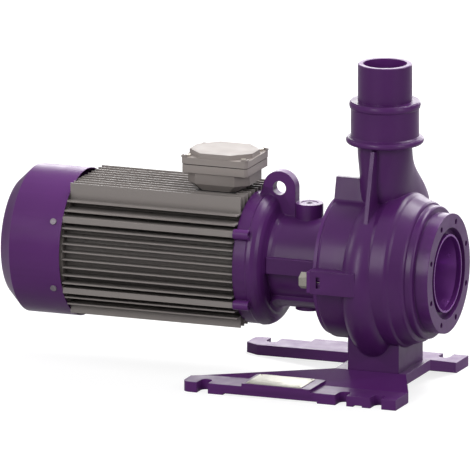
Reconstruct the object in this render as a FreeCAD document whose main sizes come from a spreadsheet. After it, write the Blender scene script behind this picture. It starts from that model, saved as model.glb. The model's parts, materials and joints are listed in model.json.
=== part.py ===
import FreeCAD, Part
import math
import os
import re
import Sketcher

# Close-coupled centrifugal pump: a fan-cooled finned motor, a bearing bracket with an oil chamber,
# and a volute casing with a suction flange, a discharge neck and a foot.
# All pieces are drawn about the suction face on the shaft axis, with the suction side towards +X,
# and each is then placed at flange_x and shaft_height, so that the foot stands on z = 0.

Vector = FreeCAD.Vector

# Driving dimensions, in millimetres and degrees
SIZES = {
    # Place of the pump in its frame
    "flange_x": 539.5,
    "shaft_height": 281,
    # Clearances
    "running_gap": 0.05,
    "seat_gap": 0.2,
    "bolt_play": 0.3,
    "blade_gap": 0.6,
    # Lengths along the shaft
    "flange_thickness": 33,
    "casing_length": 271,
    "lantern_flange": 9,
    "neck_length": 117,
    "bell_length": 89,
    "frame_length": 431,
    "cowl_length": 162,
    # Suction flange and front of the casing
    "flange_radius": 142.5,
    "flange_hole_circle": 250,
    "flange_hole_radius": 7,
    "flange_hole_depth": 26,
    "mouth_radius": 109,
    "mouth_depth": 16,
    "ring_radius": 158,
    "ring_width": 14,
    "ring_edge": 6,
    "shoulder_radius": 168,
    "shoulder_depth": 28,
    "front_radius": 184,
    "front_depth": 70,
    "front_round": 26,
    "front_body_length": 132,
    # Volute and rear of the casing
    "volute_depth": 163,
    "volute_start_radius": 178,
    "volute_end_radius": 241,
    "volute_start_width": 76,
    "volute_end_width": 96,
    "volute_start_rise": 18,
    "volute_end_rise": 36,
    "volute_wall": 11,
    "chamber_radius": 150,
    "chamber_depth": 80,
    "disc_radius": 171.5,
    "disc_edge": 8,
    "lug_reach": 204,
    "lug_half_height": 28,
    "lug_length": 108,
    "lug_slot_width": 10,
    "lug_slot_height": 27,
    "lug_slot_depth": 8,
    "top_lug_height": 219,
    "top_lug_half_width": 33,
    "top_lug_top_width": 16,
    "top_lug_length": 85,
    "top_lug_foot": 60,
    "top_lug_bend_width": 46,
    "top_lug_bend_height": 168,
    "top_lug_root_half_width": 42,
    "top_lug_root_height": 166,
    # Discharge neck and coupling
    "discharge_depth": 161,
    "neck_top": 303,
    "neck_radius": 65.5,
    "spigot_length": 36,
    "discharge_bore": 51.6,
    "gusset_thickness": 11,
    "gusset_top_reach": 82,
    "gusset_foot_reach": 133,
    "gusset_foot_height": 113,
    "coupling_height": 102,
    "coupling_radius": 80.5,
    "lower_bead_radius": 92,
    "lower_bead_height": 16,
    "upper_bead_radius": 84.4,
    "upper_bead_height": 18,
    "hose_radius": 64.2,
    "hose_length": 89,
    # Pedestal and base plate
    "pedestal_front": 95,
    "pedestal_length": 128,
    "pedestal_half_width": 80,
    "base_front": 41,
    "base_length": 539,
    "base_half_width": 242,
    "base_thickness": 25,
    "base_rise": 23,
    "rail_inner": 163,
    "rail_tip_inner": 182,
    "rail_tip_length": 33,
    "rail_front_inner": 157,
    "plateau_front": 76,
    "plateau_rear": 255,
    "corner_round": 20,
    "notch_width": 28,
    "notch_depth": 40,
    "notch_front": 91,
    "notch_middle": 179,
    "notch_rear": 528,
    "pad_height": 7,
    "pad_inner": 137,
    "pad_front": 256,
    "pad_length": 173,
    "relief_depth": 4,
    "relief_front": 239,
    "relief_length": 237,
    "small_relief_front": 126,
    "small_relief_length": 22,
    "foot_bolt_radius": 8,
    "foot_bolt_length": 50,
    "foot_bolt_spread_x": 78,
    "foot_bolt_spread_y": 110,
    "foot_head_width": 24,
    "foot_head_height": 10,
    # Suction liner
    "liner_setback": 2,
    "liner_radius": 93,
    "liner_mouth_radius": 88.5,
    "liner_mouth_depth": 12,
    "liner_throat_radius": 66,
    "liner_plate": 12,
    "liner_screw_circle": 220,
    "liner_screw_radius": 4,
    "liner_screw_length": 24,
    # Impeller and its fixing
    "impeller_radius": 138,
    "shroud_thickness": 9,
    "shroud_depth": 160,
    "blade_thickness": 9,
    "blade_count": 3,
    "blade_arc_radius": 85.6,
    "blade_arc_back": 37.7,
    "blade_arc_side": 46.8,
    "blade_arc_start": 33,
    "blade_arc_end": 88.5,
    "hub_radius": 36,
    "hub_round": 24,
    "hub_front": 108,
    "hub_rear": 176,
    "washer_radius": 26,
    "washer_thickness": 6,
    "impeller_bolt_radius": 8,
    "impeller_bolt_length": 34,
    "impeller_bolt_head": 13,
    "impeller_key_width": 8,
    "impeller_key_height": 7,
    "impeller_key_length": 36,
    # Casing cover and shaft seal
    "cover_plate": 12,
    "cover_gap": 4,
    "cover_skirt": 14,
    "cover_hub_radius": 50,
    "cover_hub_length": 24,
    "seat_outer_radius": 38,
    "seat_inner_radius": 28,
    "seat_length": 12,
    "face_outer_radius": 35,
    "face_length": 10,
    "bellows_radius": 33,
    "bellows_length": 30,
    "ring_section": 4.6,
    # Shaft
    "impeller_shaft_radius": 16,
    "seal_shaft_radius": 25,
    "core_shaft_radius": 32,
    "rear_shaft_radius": 22.5,
    "fan_shaft_radius": 19,
    "core_shaft_front": 510,
    "core_shaft_rear": 870,
    "fan_shaft_front": 935,
    "shaft_rear": 1022,
    # Bearing bracket
    "lantern_radius": 165,
    "lantern_bore": 92,
    "neck_outer_radius": 110,
    "bell_radius": 159,
    "band_radius": 157,
    "band_width": 30,
    "bell_round": 33,
    "bell_face": 67,
    "neck_fillet": 6,
    "bell_fillet": 20,
    "bell_bore": 128,
    "rib_reach": 121,
    "rib_top": 29,
    "rib_bottom": -9,
    "rib_length": 134,
    "pocket_radius": 99.5,
    "pocket_angle": 42,
    "pocket_end": 8,
    "boss_depth": 351,
    "boss_radius": 33,
    "boss_height": 142,
    "drain_boss_height": 114,
    "plug_radius": 20.5,
    "plug_depth": 15,
    "plug_thread_radius": 12,
    "plug_socket": 7,
    "eye_depth": 422,
    "eye_height": 174,
    "eye_radius": 40.6,
    "eye_hole_radius": 16.8,
    "eye_thickness": 28,
    "clamp_bolt_y": 186,
    "clamp_bolt_radius": 10,
    "clamp_bolt_length": 44,
    "clamp_head_width": 34,
    "clamp_head_height": 20,
    # Bearings
    "front_bearing_outer_radius": 55,
    "front_bearing_width": 27,
    "front_bearing_depth": 403,
    "front_ball_radius": 9.5,
    "rear_bearing_outer_radius": 50,
    "rear_bearing_width": 25,
    "rear_bearing_depth": 906,
    "rear_ball_radius": 8.7,
    "ball_count": 8,
    "race_land": 6.5,
    "cage_thickness": 5,
    "cap_thickness": 8,
    "cap_outer_radius": 66,
    "lip_seal_radius": 36,
    "lip_seal_width": 12,
    "lip_seal_gap": 19,
    "spring_thickness": 3,
    # Motor
    "barrel_radius": 137,
    "stator_radius": 125,
    "spigot_depth": 8,
    "fin_thickness": 3.6,
    "fin_pitch": 19,
    "fin_reach": 158,
    "fin_corner_radius": 175,
    "top_fin_height": 164,
    "bottom_fin_height": 151,
    "top_fin_pitch": 22.3,
    "corner_fin_y": 100,
    "corner_fin_height": 124,
    "tie_boss_thickness": 14,
    "tie_boss_reach": 152,
    "tie_y": 143,
    "tie_z": 85.5,
    "tie_radius": 4,
    "tie_head_radius": 7,
    "tie_head_height": 6,
    "tie_socket": 7,
    "tie_lug_length": 38,
    "tie_seat_depth": 8,
    "lug_radius": 12,
    "core_length": 250,
    "core_centre": 690,
    "core_radius": 84,
    "air_gap": 0.8,
    "winding_outer_radius": 117,
    "winding_inner_radius": 90,
    "winding_length": 46,
    "end_ring_inner_radius": 62,
    "end_ring_length": 16,
    "rear_flange_thickness": 12,
    "rear_flange_radius": 157,
    "rear_hub_radius": 64,
    "rear_hub_length": 30,
    "rear_fillet": 12,
    # Fan and fan cover
    "fan_front": 958,
    "fan_length": 58,
    "fan_radius": 148,
    "fan_hub_radius": 34,
    "fan_disc_thickness": 5,
    "fan_blade_thickness": 5,
    "fan_blade_count": 9,
    "fan_key_size": 8,
    "fan_key_length": 30,
    "circlip_thickness": 2.5,
    "circlip_height": 4,
    "cowl_radius": 176,
    "cowl_sheet": 2,
    "cowl_cone_length": 35,
    "cowl_end_radius": 142,
    "grille_first_radius": 26,
    "grille_pitch": 21,
    "grille_slot": 14,
    "grille_bar": 8,
    "cowl_screw_depth": 938,
    "cowl_screw_angle": 27,
    "cowl_screw_radius": 4,
    "cowl_screw_head_radius": 7.5,
    "cowl_screw_head_height": 4,
    "cowl_screw_length": 22,
    "cowl_boss_radius": 11,
    # Terminal box
    "box_depth": 565,
    "box_foot_z": 162,
    "box_gasket": 2,
    "box_foot_x": 94,
    "box_foot_y": 115,
    "box_taper_height": 16,
    "box_x": 155,
    "box_y": 135,
    "box_corner": 28,
    "box_height": 26,
    "rim_x": 165,
    "rim_y": 142,
    "rim_height": 19,
    "rim_corner": 6,
    "box_wall": 5,
    "lid_x": 167,
    "lid_y": 143,
    "lid_flange": 16,
    "lid_raise": 11.5,
    "lid_corner": 42,
    "lid_screw_inset": 13,
    "lid_screw_radius": 3,
    "lid_screw_head_radius": 6,
    "lid_screw_head_height": 5,
    "lid_screw_length": 24,
    "cable_hole_radius": 20,
    "entry_radius": 12,
    "entry_spread": 72,
    "entry_head_length": 8,
    "block_x": 66,
    "block_y": 40,
    "block_z": 14,
    "stud_radius": 2.5,
    "stud_length": 30,
    "stud_pitch": 20,
}

# Places worked out from the sizes; x is negative behind the suction face
PLACES = {
    "ring_x": "-flange_thickness",
    "volute_x": "-volute_depth",
    "discharge_x": "-discharge_depth",
    "joint_x": "-casing_length",
    "lantern_x": "joint_x - lantern_flange",
    "bell_x": "lantern_x - neck_length",
    "frame_x": "bell_x - bell_length",
    "bell_face_x": "frame_x + bell_face",
    "frame_end_x": "frame_x - frame_length",
    "cowl_end_x": "frame_end_x - cowl_length",
    "chamber_x": "-chamber_depth",
    "liner_back_x": "chamber_x - liner_plate",
    "shroud_x": "-shroud_depth",
    "shroud_back_x": "shroud_x - shroud_thickness",
    "cover_x": "shroud_back_x - cover_gap",
    "cover_back_x": "cover_x - cover_plate",
    "seat_x": "cover_back_x - cover_hub_length + seat_length",
    "face_x": "seat_x - seat_length - running_gap",
    "bellows_x": "face_x - face_length",
    "front_bearing_x": "-front_bearing_depth",
    "front_bearing_end_x": "front_bearing_x - front_bearing_width",
    "oil_end_x": "front_bearing_x + lip_seal_gap + lip_seal_width",
    "oil_chamber_length": "joint_x - oil_end_x",
    "rear_bearing_x": "-rear_bearing_depth",
    "rear_bearing_end_x": "rear_bearing_x - rear_bearing_width",
    "core_x": "-core_centre + core_length/2",
    "core_end_x": "-core_centre - core_length/2",
    "fan_x": "-fan_front",
    "fan_end_x": "fan_x - fan_length",
    "ground_z": "-shaft_height",
    "plateau_z": "ground_z + base_rise + base_thickness",
    "spigot_top": "neck_top + spigot_length",
    "coupling_top": "neck_top + coupling_height",
    "discharge_top": "coupling_top + hose_length",
    "box_x_centre": "-box_depth",
    "box_seam_z": "box_foot_z + box_gasket + box_taper_height + box_height + rim_height",
    "lid_z": "box_seam_z + box_gasket",
    "rear_shield_x": "frame_end_x - rear_flange_thickness",
}

doc = FreeCAD.newDocument("close_coupled_pump")
sheet = doc.addObject("Spreadsheet::Sheet", "Sizes")
for row, (size_name, size) in enumerate(SIZES.items(), start=1):
    sheet.set(f"A{row}", size_name)
    sheet.set(f"B{row}", str(size))
    sheet.setAlias(f"B{row}", size_name)
doc.recompute()

NODES = {}


def bound(text):
    """Write out the size and place names in an expression as references to the sheet."""
    def spelled(match):
        word = match.group(0)
        if word in PLACES:
            return "(" + bound(PLACES[word]) + ")"
        if word in SIZES:
            return "Sizes." + word
        return word
    return re.sub(r"[a-z_][a-z0-9_]*", spelled, str(text))


def value(text):
    """The number that an expression gives with the present sizes."""
    return float(sheet.evalExpression(bound(text)))


def bind(item, prop, text):
    item.setExpression(prop, bound(text))


def place(item, x="0", y="0", z="0", rotation=None):
    """Put an object at bound coordinates, turned by a fixed rotation."""
    if rotation is not None:
        item.Placement = FreeCAD.Placement(Vector(), rotation)
    for axis, text in (("x", x), ("y", y), ("z", z)):
        bind(item, f"Placement.Base.{axis}", text)
    return item


def turn_about(axis, degrees):
    return FreeCAD.Rotation(Vector(*axis), degrees)


ALONG = {
    "x": turn_about((0, 1, 0), 90),
    "-x": turn_about((0, 1, 0), -90),
    "y": turn_about((1, 0, 0), -90),
    "-y": turn_about((1, 0, 0), 90),
    "z": turn_about((0, 0, 1), 0),
    "-z": turn_about((1, 0, 0), 180),
}


def box(name, x, y, z):
    """Box between two bound limits on each axis."""
    item = doc.addObject("Part::Box", name)
    for prop, (low, high) in (("Length", x), ("Width", y), ("Height", z)):
        bind(item, prop, f"({high}) - ({low})")
    return place(item, x[0], y[0], z[0])


def rod(name, axis, start, radius, length):
    """Cylinder that runs from a start point along an axis."""
    item = doc.addObject("Part::Cylinder", name)
    bind(item, "Radius", radius)
    bind(item, "Height", length)
    return place(item, *start, rotation=ALONG[axis])


def hexagon(name, axis, start, width, length):
    """Hexagonal prism, with its width across flats."""
    item = doc.addObject("Part::Prism", name)
    item.Polygon = 6
    bind(item, "Circumradius", f"({width})/sqrt(3)")
    bind(item, "Height", length)
    return place(item, *start, rotation=ALONG[axis])


def fused(name, items):
    item = doc.addObject("Part::MultiFuse", name)
    item.Shapes = items
    item.Refine = False
    return item


def cut(name, base, tools):
    """Base with the tools taken away."""
    item = doc.addObject("Part::Cut", name)
    item.Base = base
    item.Tool = tools[0] if len(tools) == 1 else fused(name + "_tools", tools)
    item.Refine = False
    return item


def group(name, items):
    """Separate solids kept together in one node."""
    item = doc.addObject("Part::Compound", name)
    item.Links = items
    return item


def computed(name, shape):
    """A form worked out by Part's own functions."""
    item = doc.addObject("Part::Feature", name)
    item.Shape = shape
    return item


def node(label, item):
    """Name a finished sub-part and place it in the pump's frame."""
    item.Label = label
    place(item, "flange_x", "0", "shaft_height")
    NODES[label] = item
    return item


def run_between(first, last, corner):
    """Straight or round run of an outline, with the end at which the run starts."""
    start = Vector(first[0], first[1], 0)
    end = Vector(last[0], last[1], 0)
    if len(corner) == 2:
        return Part.LineSegment(start, end), 1
    radius = value(corner[2])
    left = 1 if corner[3] == "left" else -1
    chord = end - start
    across = Vector(-chord.y, chord.x, 0).normalize()
    rise = math.sqrt(max(radius**2 - chord.Length**2 / 4, 0))
    centre = (start + end) * 0.5 + across * (left * rise)
    circle = Part.Circle(centre, Vector(0, 0, 1), radius)
    from_angle = math.atan2(start.y - centre.y, start.x - centre.x)
    to_angle = math.atan2(end.y - centre.y, end.x - centre.x)
    if left > 0:
        return Part.ArcOfCircle(circle, from_angle, to_angle), 1
    return Part.ArcOfCircle(circle, to_angle, from_angle), 2


def outline(body, role, name, corners):
    """Closed sketch outline whose corners and radii follow the sheet.

    A corner is (across, up), reached by a straight run, or (across, up, radius, "left" or "right"),
    reached by an arc that curves that way.
    """
    sketch = body.newObject("Sketcher::SketchObject", name)
    plane = next(item for item in body.Origin.OriginFeatures if item.Role == role)
    sketch.AttachmentSupport = [(plane, "")]
    sketch.MapMode = "FlatFace"
    points = [(value(corner[0]), value(corner[1])) for corner in corners]
    starts = []
    for index, corner in enumerate(corners):
        run, start = run_between(points[index - 1], points[index], corner)
        sketch.addGeometry(run, False)
        starts.append(start)
    for index, corner in enumerate(corners):
        following = (index + 1) % len(corners)
        end = 3 - starts[index]
        sketch.addConstraint(Sketcher.Constraint("Coincident", index, end, following, starts[following]))
        across = sketch.addConstraint(Sketcher.Constraint("DistanceX", index, end, points[index][0]))
        bind(sketch, f"Constraints[{across}]", corner[0])
        up = sketch.addConstraint(Sketcher.Constraint("DistanceY", index, end, points[index][1]))
        bind(sketch, f"Constraints[{up}]", corner[1])
        if len(corner) > 2:
            radius = sketch.addConstraint(Sketcher.Constraint("Radius", index, value(corner[2])))
            bind(sketch, f"Constraints[{radius}]", corner[2])
    return sketch


def turned(name, corners, axis="H_Axis"):
    """Turned body from an outline in the plane of the shaft."""
    body = doc.addObject("PartDesign::Body", name)
    sketch = outline(body, "XZ_Plane", name + "_profile", corners)
    turn = body.newObject("PartDesign::Revolution", name + "_turn")
    turn.Profile = (sketch, [""])
    turn.ReferenceAxis = (sketch, [axis])
    turn.Angle = 360
    return body


def ring(name, start, end, inner, outer):
    """Plain turned ring about the shaft, from a front place back to a rear one."""
    return turned(name, [(start, inner), (start, outer), (end, outer), (end, inner)])


def padded(name, role, corners, start, length):
    """Body padded from an outline; start is the low end of the pad on the third axis."""
    body = doc.addObject("PartDesign::Body", name)
    sketch = outline(body, role, name + "_profile", corners)
    offset = f"-(({start}) + ({length}))" if role == "XZ_Plane" else start
    bind(sketch, "AttachmentOffset.Base.z", offset)
    pad = body.newObject("PartDesign::Pad", name + "_pad")
    pad.Profile = (sketch, [""])
    bind(pad, "Length", length)
    return body


def repeated(body, feature, count, role="YZ_Plane"):
    """Polar pattern of a feature about the axis normal to one of its sketch planes."""
    pattern = body.newObject("PartDesign::PolarPattern", feature.Name + "_round")
    pattern.Originals = [feature]
    pattern.Axis = (feature.Profile[0], ["N_Axis"])
    pattern.Angle = 360
    bind(pattern, "Occurrences", count)
    body.Tip = pattern
    return pattern


def bend(across, up, radius, start, end, flats=3):
    """Round corner of a turned outline, drawn as a few flats so that its faces stay plain cones.

    The centre is at (across, up), and start and end are the directions from it, in degrees.
    """
    corners = []
    for k in range(flats + 1):
        angle = start + (end - start) * k / flats
        corners.append((f"({across}) + ({radius})*cos({angle:g})", f"({up}) + ({radius})*sin({angle:g})"))
    return corners


def bead(low, high, wall, rise, flats=6):
    """Half-round bead on an upright wall, between two heights, drawn as flats."""
    half = f"(({high}) - ({low}))/2"
    corners = []
    for k in range(flats + 1):
        angle = -90 + 180 * k / flats
        corners.append((f"{wall} + ({rise})*cos({angle:g})",
            f"(({low}) + ({high}))/2 + {half}*sin({angle:g})"))
    return corners


def rectangle(x, y):
    return [(x[0], y[0]), (x[1], y[0]), (x[1], y[1]), (x[0], y[1])]


def cut_corners(half_x, half_y, corner):
    """Rectangle about the origin with its four corners cut at 45 degrees."""
    hx, hy, c = f"({half_x})", f"({half_y})", f"({corner})"
    return [
        (f"-{hx} + {c}", f"-{hy}"), (f"{hx} - {c}", f"-{hy}"),
        (hx, f"-{hy} + {c}"), (hx, f"{hy} - {c}"),
        (f"{hx} - {c}", hy), (f"-{hx} + {c}", hy),
        (f"-{hx}", f"{hy} - {c}"), (f"-{hx}", f"-{hy} + {c}"),
    ]


SIDES = (("near", -1), ("far", 1))


# Volute: sections of growing size, lofted round the shaft, whose last ones sink into the neck

VOLUTE_START = 108
VOLUTE_END = 400
VOLUTE_SINKS = 372
VOLUTE_SECTIONS = 12


def volute_section(angle, shrink, inner):
    """Section of the volute, a round-topped box, in the half plane at an angle from +Y towards +Z."""
    along = (min(angle, 360) - VOLUTE_START) / (360 - VOLUTE_START)
    sink = max(0, angle - VOLUTE_SINKS)

    def grown(name):
        first = value(f"volute_start_{name}")
        return first + along * (value(f"volute_end_{name}") - first)

    mid = value("volute_x")
    half = grown("width") / 2 - shrink - 0.25 * sink
    outer = grown("radius") - shrink - 0.35 * sink
    corner = outer - grown("rise")
    points = [(mid - half, inner), (mid - half, corner), (mid, outer), (mid + half, corner),
        (mid + half, inner)]
    turn = math.radians(angle)
    rail = [Vector(x, r * math.cos(turn), r * math.sin(turn)) for x, r in points]
    edges = [
        Part.LineSegment(rail[0], rail[1]).toShape(),
        Part.Arc(rail[1], rail[2], rail[3]).toShape(),
        Part.LineSegment(rail[3], rail[4]).toShape(),
        Part.LineSegment(rail[4], rail[0]).toShape(),
    ]
    return Part.Wire(edges)


def volute(name, shrink, inner):
    """The spiral, with its section offset inwards by shrink."""
    step = (VOLUTE_END - VOLUTE_START) / (VOLUTE_SECTIONS - 1)
    sections = [volute_section(VOLUTE_START + k * step, shrink, inner) for k in range(VOLUTE_SECTIONS)]
    return computed(name, Part.makeLoft(sections, True, False))


# Discharge neck: rounded sections from the round top down into the far side of the volute, as
# (share of the way down from the top to the shaft, shift towards +Y, half width in Y, half width in X,
# squareness, where 2 is an ellipse)

NECK_SECTIONS = (
    (0.0, 0, 64, 64, 2),
    (0.10, 3, 67, 64.5, 2),
    (0.31, 33, 103, 60, 2.3),
    (0.50, 70, 121, 62, 2.6),
    (0.80, 110, 123, 44, 2),
)
NECK_POINTS = 16


def neck(name, shrink):
    """Discharge neck as a loft of its sections, offset inwards by shrink."""
    def bulged(ratio, squareness):
        return math.copysign(abs(ratio) ** (2 / squareness), ratio)

    sections = []
    for share, shift, half_y, half_x, squareness in NECK_SECTIONS:
        points = []
        for k in range(NECK_POINTS):
            turn = 2 * math.pi * k / NECK_POINTS
            x = value("discharge_x") * (1 - share) + value("volute_x") * share
            x += (half_x - shrink) * bulged(math.sin(turn), squareness)
            y = shift + (half_y - shrink) * bulged(math.cos(turn), squareness)
            points.append(Vector(x, y, value("neck_top") * (1 - share)))
        oval = Part.BSplineCurve()
        oval.interpolate(points, PeriodicFlag=True)
        sections.append(Part.Wire([oval.toShape()]))
    return computed(name, Part.makeLoft(sections, True, False))


def make_casing():
    """Volute casing: suction flange, front body, volute, lugs, neck and pedestal in one casting."""
    step = "(shoulder_radius - ring_radius)"
    shell = turned("casing_shell", [
        ("0", "0"),
        ("0", "flange_radius"),
        ("ring_x", "flange_radius"),
        *bend("ring_x - ring_edge", "ring_radius - ring_edge", "ring_edge", 0, 90),
        ("ring_x - ring_width", "ring_radius"),
        *bend("ring_x - shoulder_depth", f"shoulder_radius - {step}", step, 0, 90),
        *bend("ring_x - front_depth", "front_radius - front_round", "front_round", 46, 90),
        ("-front_body_length", "front_radius"),
        ("volute_x", "disc_radius"),
        *bend("joint_x + disc_edge", "disc_radius - disc_edge", "disc_edge", 90, 180),
        ("joint_x", "0"),
    ])
    core = fused("casing_core", [shell, volute("volute_outer", 0, value("chamber_radius") - 50)])
    necks = [neck("neck_outer", 0)]
    necks.append(rod("neck_spigot", "z", ("discharge_x", "0", "neck_top - 2"), "neck_radius",
        "spigot_length + 2"))
    necks.append(padded("neck_gusset", "YZ_Plane", [
        ("-neck_radius + 15", "neck_top - 5"),
        ("-gusset_top_reach", "neck_top - 5"),
        ("-gusset_foot_reach", "gusset_foot_height"),
        ("-neck_radius + 15", "gusset_foot_height"),
    ], "discharge_x - gusset_thickness/2", "gusset_thickness"))
    pieces = [core, fused("casing_neck", necks)]
    for side, sign in SIDES:
        pieces.append(padded(f"side_lug_{side}", "XY_Plane", [
            ("joint_x", f"{sign}*(disc_radius - 25)"),
            ("joint_x", f"{sign}*lug_reach"),
            ("joint_x + lug_length - disc_edge", f"{sign}*lug_reach"),
            ("joint_x + lug_length", f"{sign}*(lug_reach - disc_edge)"),
            ("joint_x + lug_length", f"{sign}*(disc_radius - 25)"),
        ], "-lug_half_height", "2*lug_half_height"))
    pieces.append(padded("top_lug", "YZ_Plane", [
        ("-top_lug_half_width", "top_lug_height"),
        ("-top_lug_half_width + top_lug_top_width", "top_lug_height"),
        ("top_lug_root_half_width", "top_lug_root_height"),
        ("top_lug_root_half_width", "chamber_radius + 4"),
        ("-top_lug_foot", "chamber_radius + 4"),
        ("-top_lug_bend_width", "top_lug_bend_height"),
    ], "joint_x", "top_lug_length"))
    pieces.append(box("pedestal", ("-(pedestal_front + pedestal_length)", "-pedestal_front"),
        ("-pedestal_half_width", "pedestal_half_width"), ("plateau_z", "-chamber_radius + 20")))
    waterways = [
        rod("impeller_chamber", "-x", ("chamber_x", "0", "0"), "chamber_radius",
            "casing_length - chamber_depth + 1"),
        volute("volute_water", value("volute_wall"), value("chamber_radius") - 30),
        neck("neck_water", value("neck_radius - discharge_bore")),
        rod("discharge_water", "z", ("discharge_x", "0", "neck_top - 2"), "discharge_bore",
            "spigot_length + 12"),
        rod("liner_bore", "-x", ("1", "0", "0"), "liner_radius + seat_gap", "chamber_depth + 2"),
        rod("mouth", "-x", ("1", "0", "0"), "mouth_radius", "mouth_depth + 1"),
    ]
    casing = fused("casing_solid", pieces)
    for waterway in waterways:
        casing = cut(f"casing_less_{waterway.Name}", casing, [waterway])
    hollows = []
    for k in range(8):
        angle = 22.5 + 45 * k
        hollows.append(rod(f"flange_hole_{k + 1}", "-x",
            ("1", f"flange_hole_circle/2*cos({angle})", f"flange_hole_circle/2*sin({angle})"),
            "flange_hole_radius", "flange_hole_depth + 1"))
    for side, sign in SIDES:
        hollows.append(rod(f"clamp_hole_{side}", "x", ("joint_x - 1", f"{sign}*clamp_bolt_y", "0"),
            "clamp_bolt_radius + running_gap", "clamp_bolt_length - lantern_flange + 4"))
        low, high = f"{sign}*(lug_reach - lug_slot_depth)", f"{sign}*(lug_reach + 1)"
        limits = (low, high) if sign > 0 else (high, low)
        hollows.append(box(f"lug_slot_{side}", ("joint_x + 14", "joint_x + 14 + lug_slot_width"), limits,
            ("-lug_slot_height/2", "lug_slot_height/2")))
    for name, x, y in foot_bolt_places():
        hollows.append(rod(f"foot_hole_{name}", "z", (x, y, "plateau_z - 1"),
            "foot_bolt_radius + running_gap", "foot_bolt_length - base_thickness + 4"))
    for k in range(4):
        hollows.append(rod(f"liner_hole_{k + 1}", "x", ("chamber_x - 1", *liner_screw_place(k)),
            "liner_screw_radius + running_gap", "liner_screw_length - liner_plate + 4"))
    node("volute_casing", cut("volute_casing", casing, hollows))


def foot_bolt_places():
    """The four bolts between the base plate and the pedestal."""
    middle = "-(pedestal_front + pedestal_length/2)"
    places = []
    for end, along in (("front", 1), ("rear", -1)):
        for side, sign in SIDES:
            places.append((f"{end}_{side}", f"{middle} + {along}*foot_bolt_spread_x/2",
                f"{sign}*foot_bolt_spread_y/2"))
    return places


def liner_screw_place(k):
    angle = 45 + 90 * k
    return f"liner_screw_circle/2*cos({angle})", f"liner_screw_circle/2*sin({angle})"


def make_base():
    """Base plate: two rails on the ground joined by sloped webs to a raised middle."""
    section = [
        ("-base_half_width", "ground_z"),
        ("-rail_inner", "ground_z"),
        ("-pedestal_half_width", "ground_z + base_rise"),
        ("pedestal_half_width", "ground_z + base_rise"),
        ("rail_inner", "ground_z"),
        ("base_half_width", "ground_z"),
        ("base_half_width", "ground_z + base_thickness"),
        ("rail_inner", "ground_z + base_thickness"),
        ("pedestal_half_width", "plateau_z"),
        ("-pedestal_half_width", "plateau_z"),
        ("-rail_inner", "ground_z + base_thickness"),
        ("-base_half_width", "ground_z + base_thickness"),
    ]
    rear = "-(base_front + base_length)"
    plate = padded("bent_plate", "YZ_Plane", section, rear, "base_length")
    pads = []
    for side, sign in SIDES:
        low, high = f"{sign}*pad_inner", f"{sign}*base_half_width"
        limits = (low, high) if sign > 0 else (high, low)
        pads.append(box(f"rail_pad_{side}", ("-(pad_front + pad_length)", "-pad_front"), limits,
            ("ground_z + base_thickness/2", "ground_z + base_thickness + pad_height")))
    tip = f"{rear} + rail_tip_length"
    high = ("2*base_thickness + base_rise + pad_height")
    hollows = [
        padded("rear_opening", "XY_Plane", [
            (f"{rear} - 20", "-rail_tip_inner"),
            (rear, "-rail_tip_inner"),
            (tip, "-rail_inner"),
            ("-plateau_rear", "-pedestal_half_width"),
            ("-plateau_rear", "pedestal_half_width"),
            (tip, "rail_inner"),
            (rear, "rail_tip_inner"),
            (f"{rear} - 20", "rail_tip_inner"),
        ], "ground_z - 1", high),
        padded("front_opening", "XY_Plane", [
            ("-base_front + 20", "-rail_front_inner"),
            ("-base_front", "-rail_front_inner"),
            ("-plateau_front", "-pedestal_half_width"),
            ("-plateau_front", "pedestal_half_width"),
            ("-base_front", "rail_front_inner"),
            ("-base_front + 20", "rail_front_inner"),
        ], "ground_z - 1", high),
    ]
    for side, sign in SIDES:
        for name in ("front", "middle", "rear"):
            x = f"-notch_{name}"
            end = f"{sign}*(base_half_width - notch_depth + notch_width/2)"
            hollows.append(rod(f"notch_end_{name}_{side}", "z", (x, end, "ground_z - 1"), "notch_width/2",
                high))
            low, far = (end, f"{sign}*(base_half_width + 1)")
            limits = (low, far) if sign > 0 else (far, low)
            hollows.append(box(f"notch_{name}_{side}", (f"{x} - notch_width/2", f"{x} + notch_width/2"),
                limits, ("ground_z - 1", f"ground_z - 1 + {high}")))
        hollows.append(padded(f"corner_{side}", "XY_Plane", [
            (f"{rear} - 5", f"{sign}*(base_half_width + 5)"),
            (f"{rear} + corner_round", f"{sign}*(base_half_width + 5)"),
            (f"{rear} + corner_round", f"{sign}*base_half_width"),
            (rear, f"{sign}*(base_half_width - corner_round)", "corner_round",
                "left" if sign > 0 else "right"),
            (f"{rear} - 5", f"{sign}*(base_half_width - corner_round)"),
        ], "ground_z - 1", high))
    for name in ("relief", "small_relief"):
        hollows.append(box(name, (f"-({name}_front + {name}_length)", f"-{name}_front"),
            ("-base_half_width - 1", "base_half_width + 1"), ("ground_z - 1", "ground_z + relief_depth")))
    for name, x, y in foot_bolt_places():
        hollows.append(rod(f"base_hole_{name}", "z", (x, y, "ground_z"), "foot_bolt_radius + bolt_play",
            "base_rise + base_thickness + 1"))
    node("base_plate", cut("base_plate", fused("base_solid", [plate] + pads), hollows))
    bolts = []
    for name, x, y in foot_bolt_places():
        head = hexagon(f"foot_head_{name}", "-z", (x, y, "ground_z + base_rise"), "foot_head_width",
            "foot_head_height")
        shank = rod(f"foot_shank_{name}", "z", (x, y, "ground_z + base_rise"), "foot_bolt_radius",
            "foot_bolt_length")
        bolts.append(fused(f"foot_bolt_{name}", [head, shank]))
    node("foot_bolts", group("foot_bolts", bolts))


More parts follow.
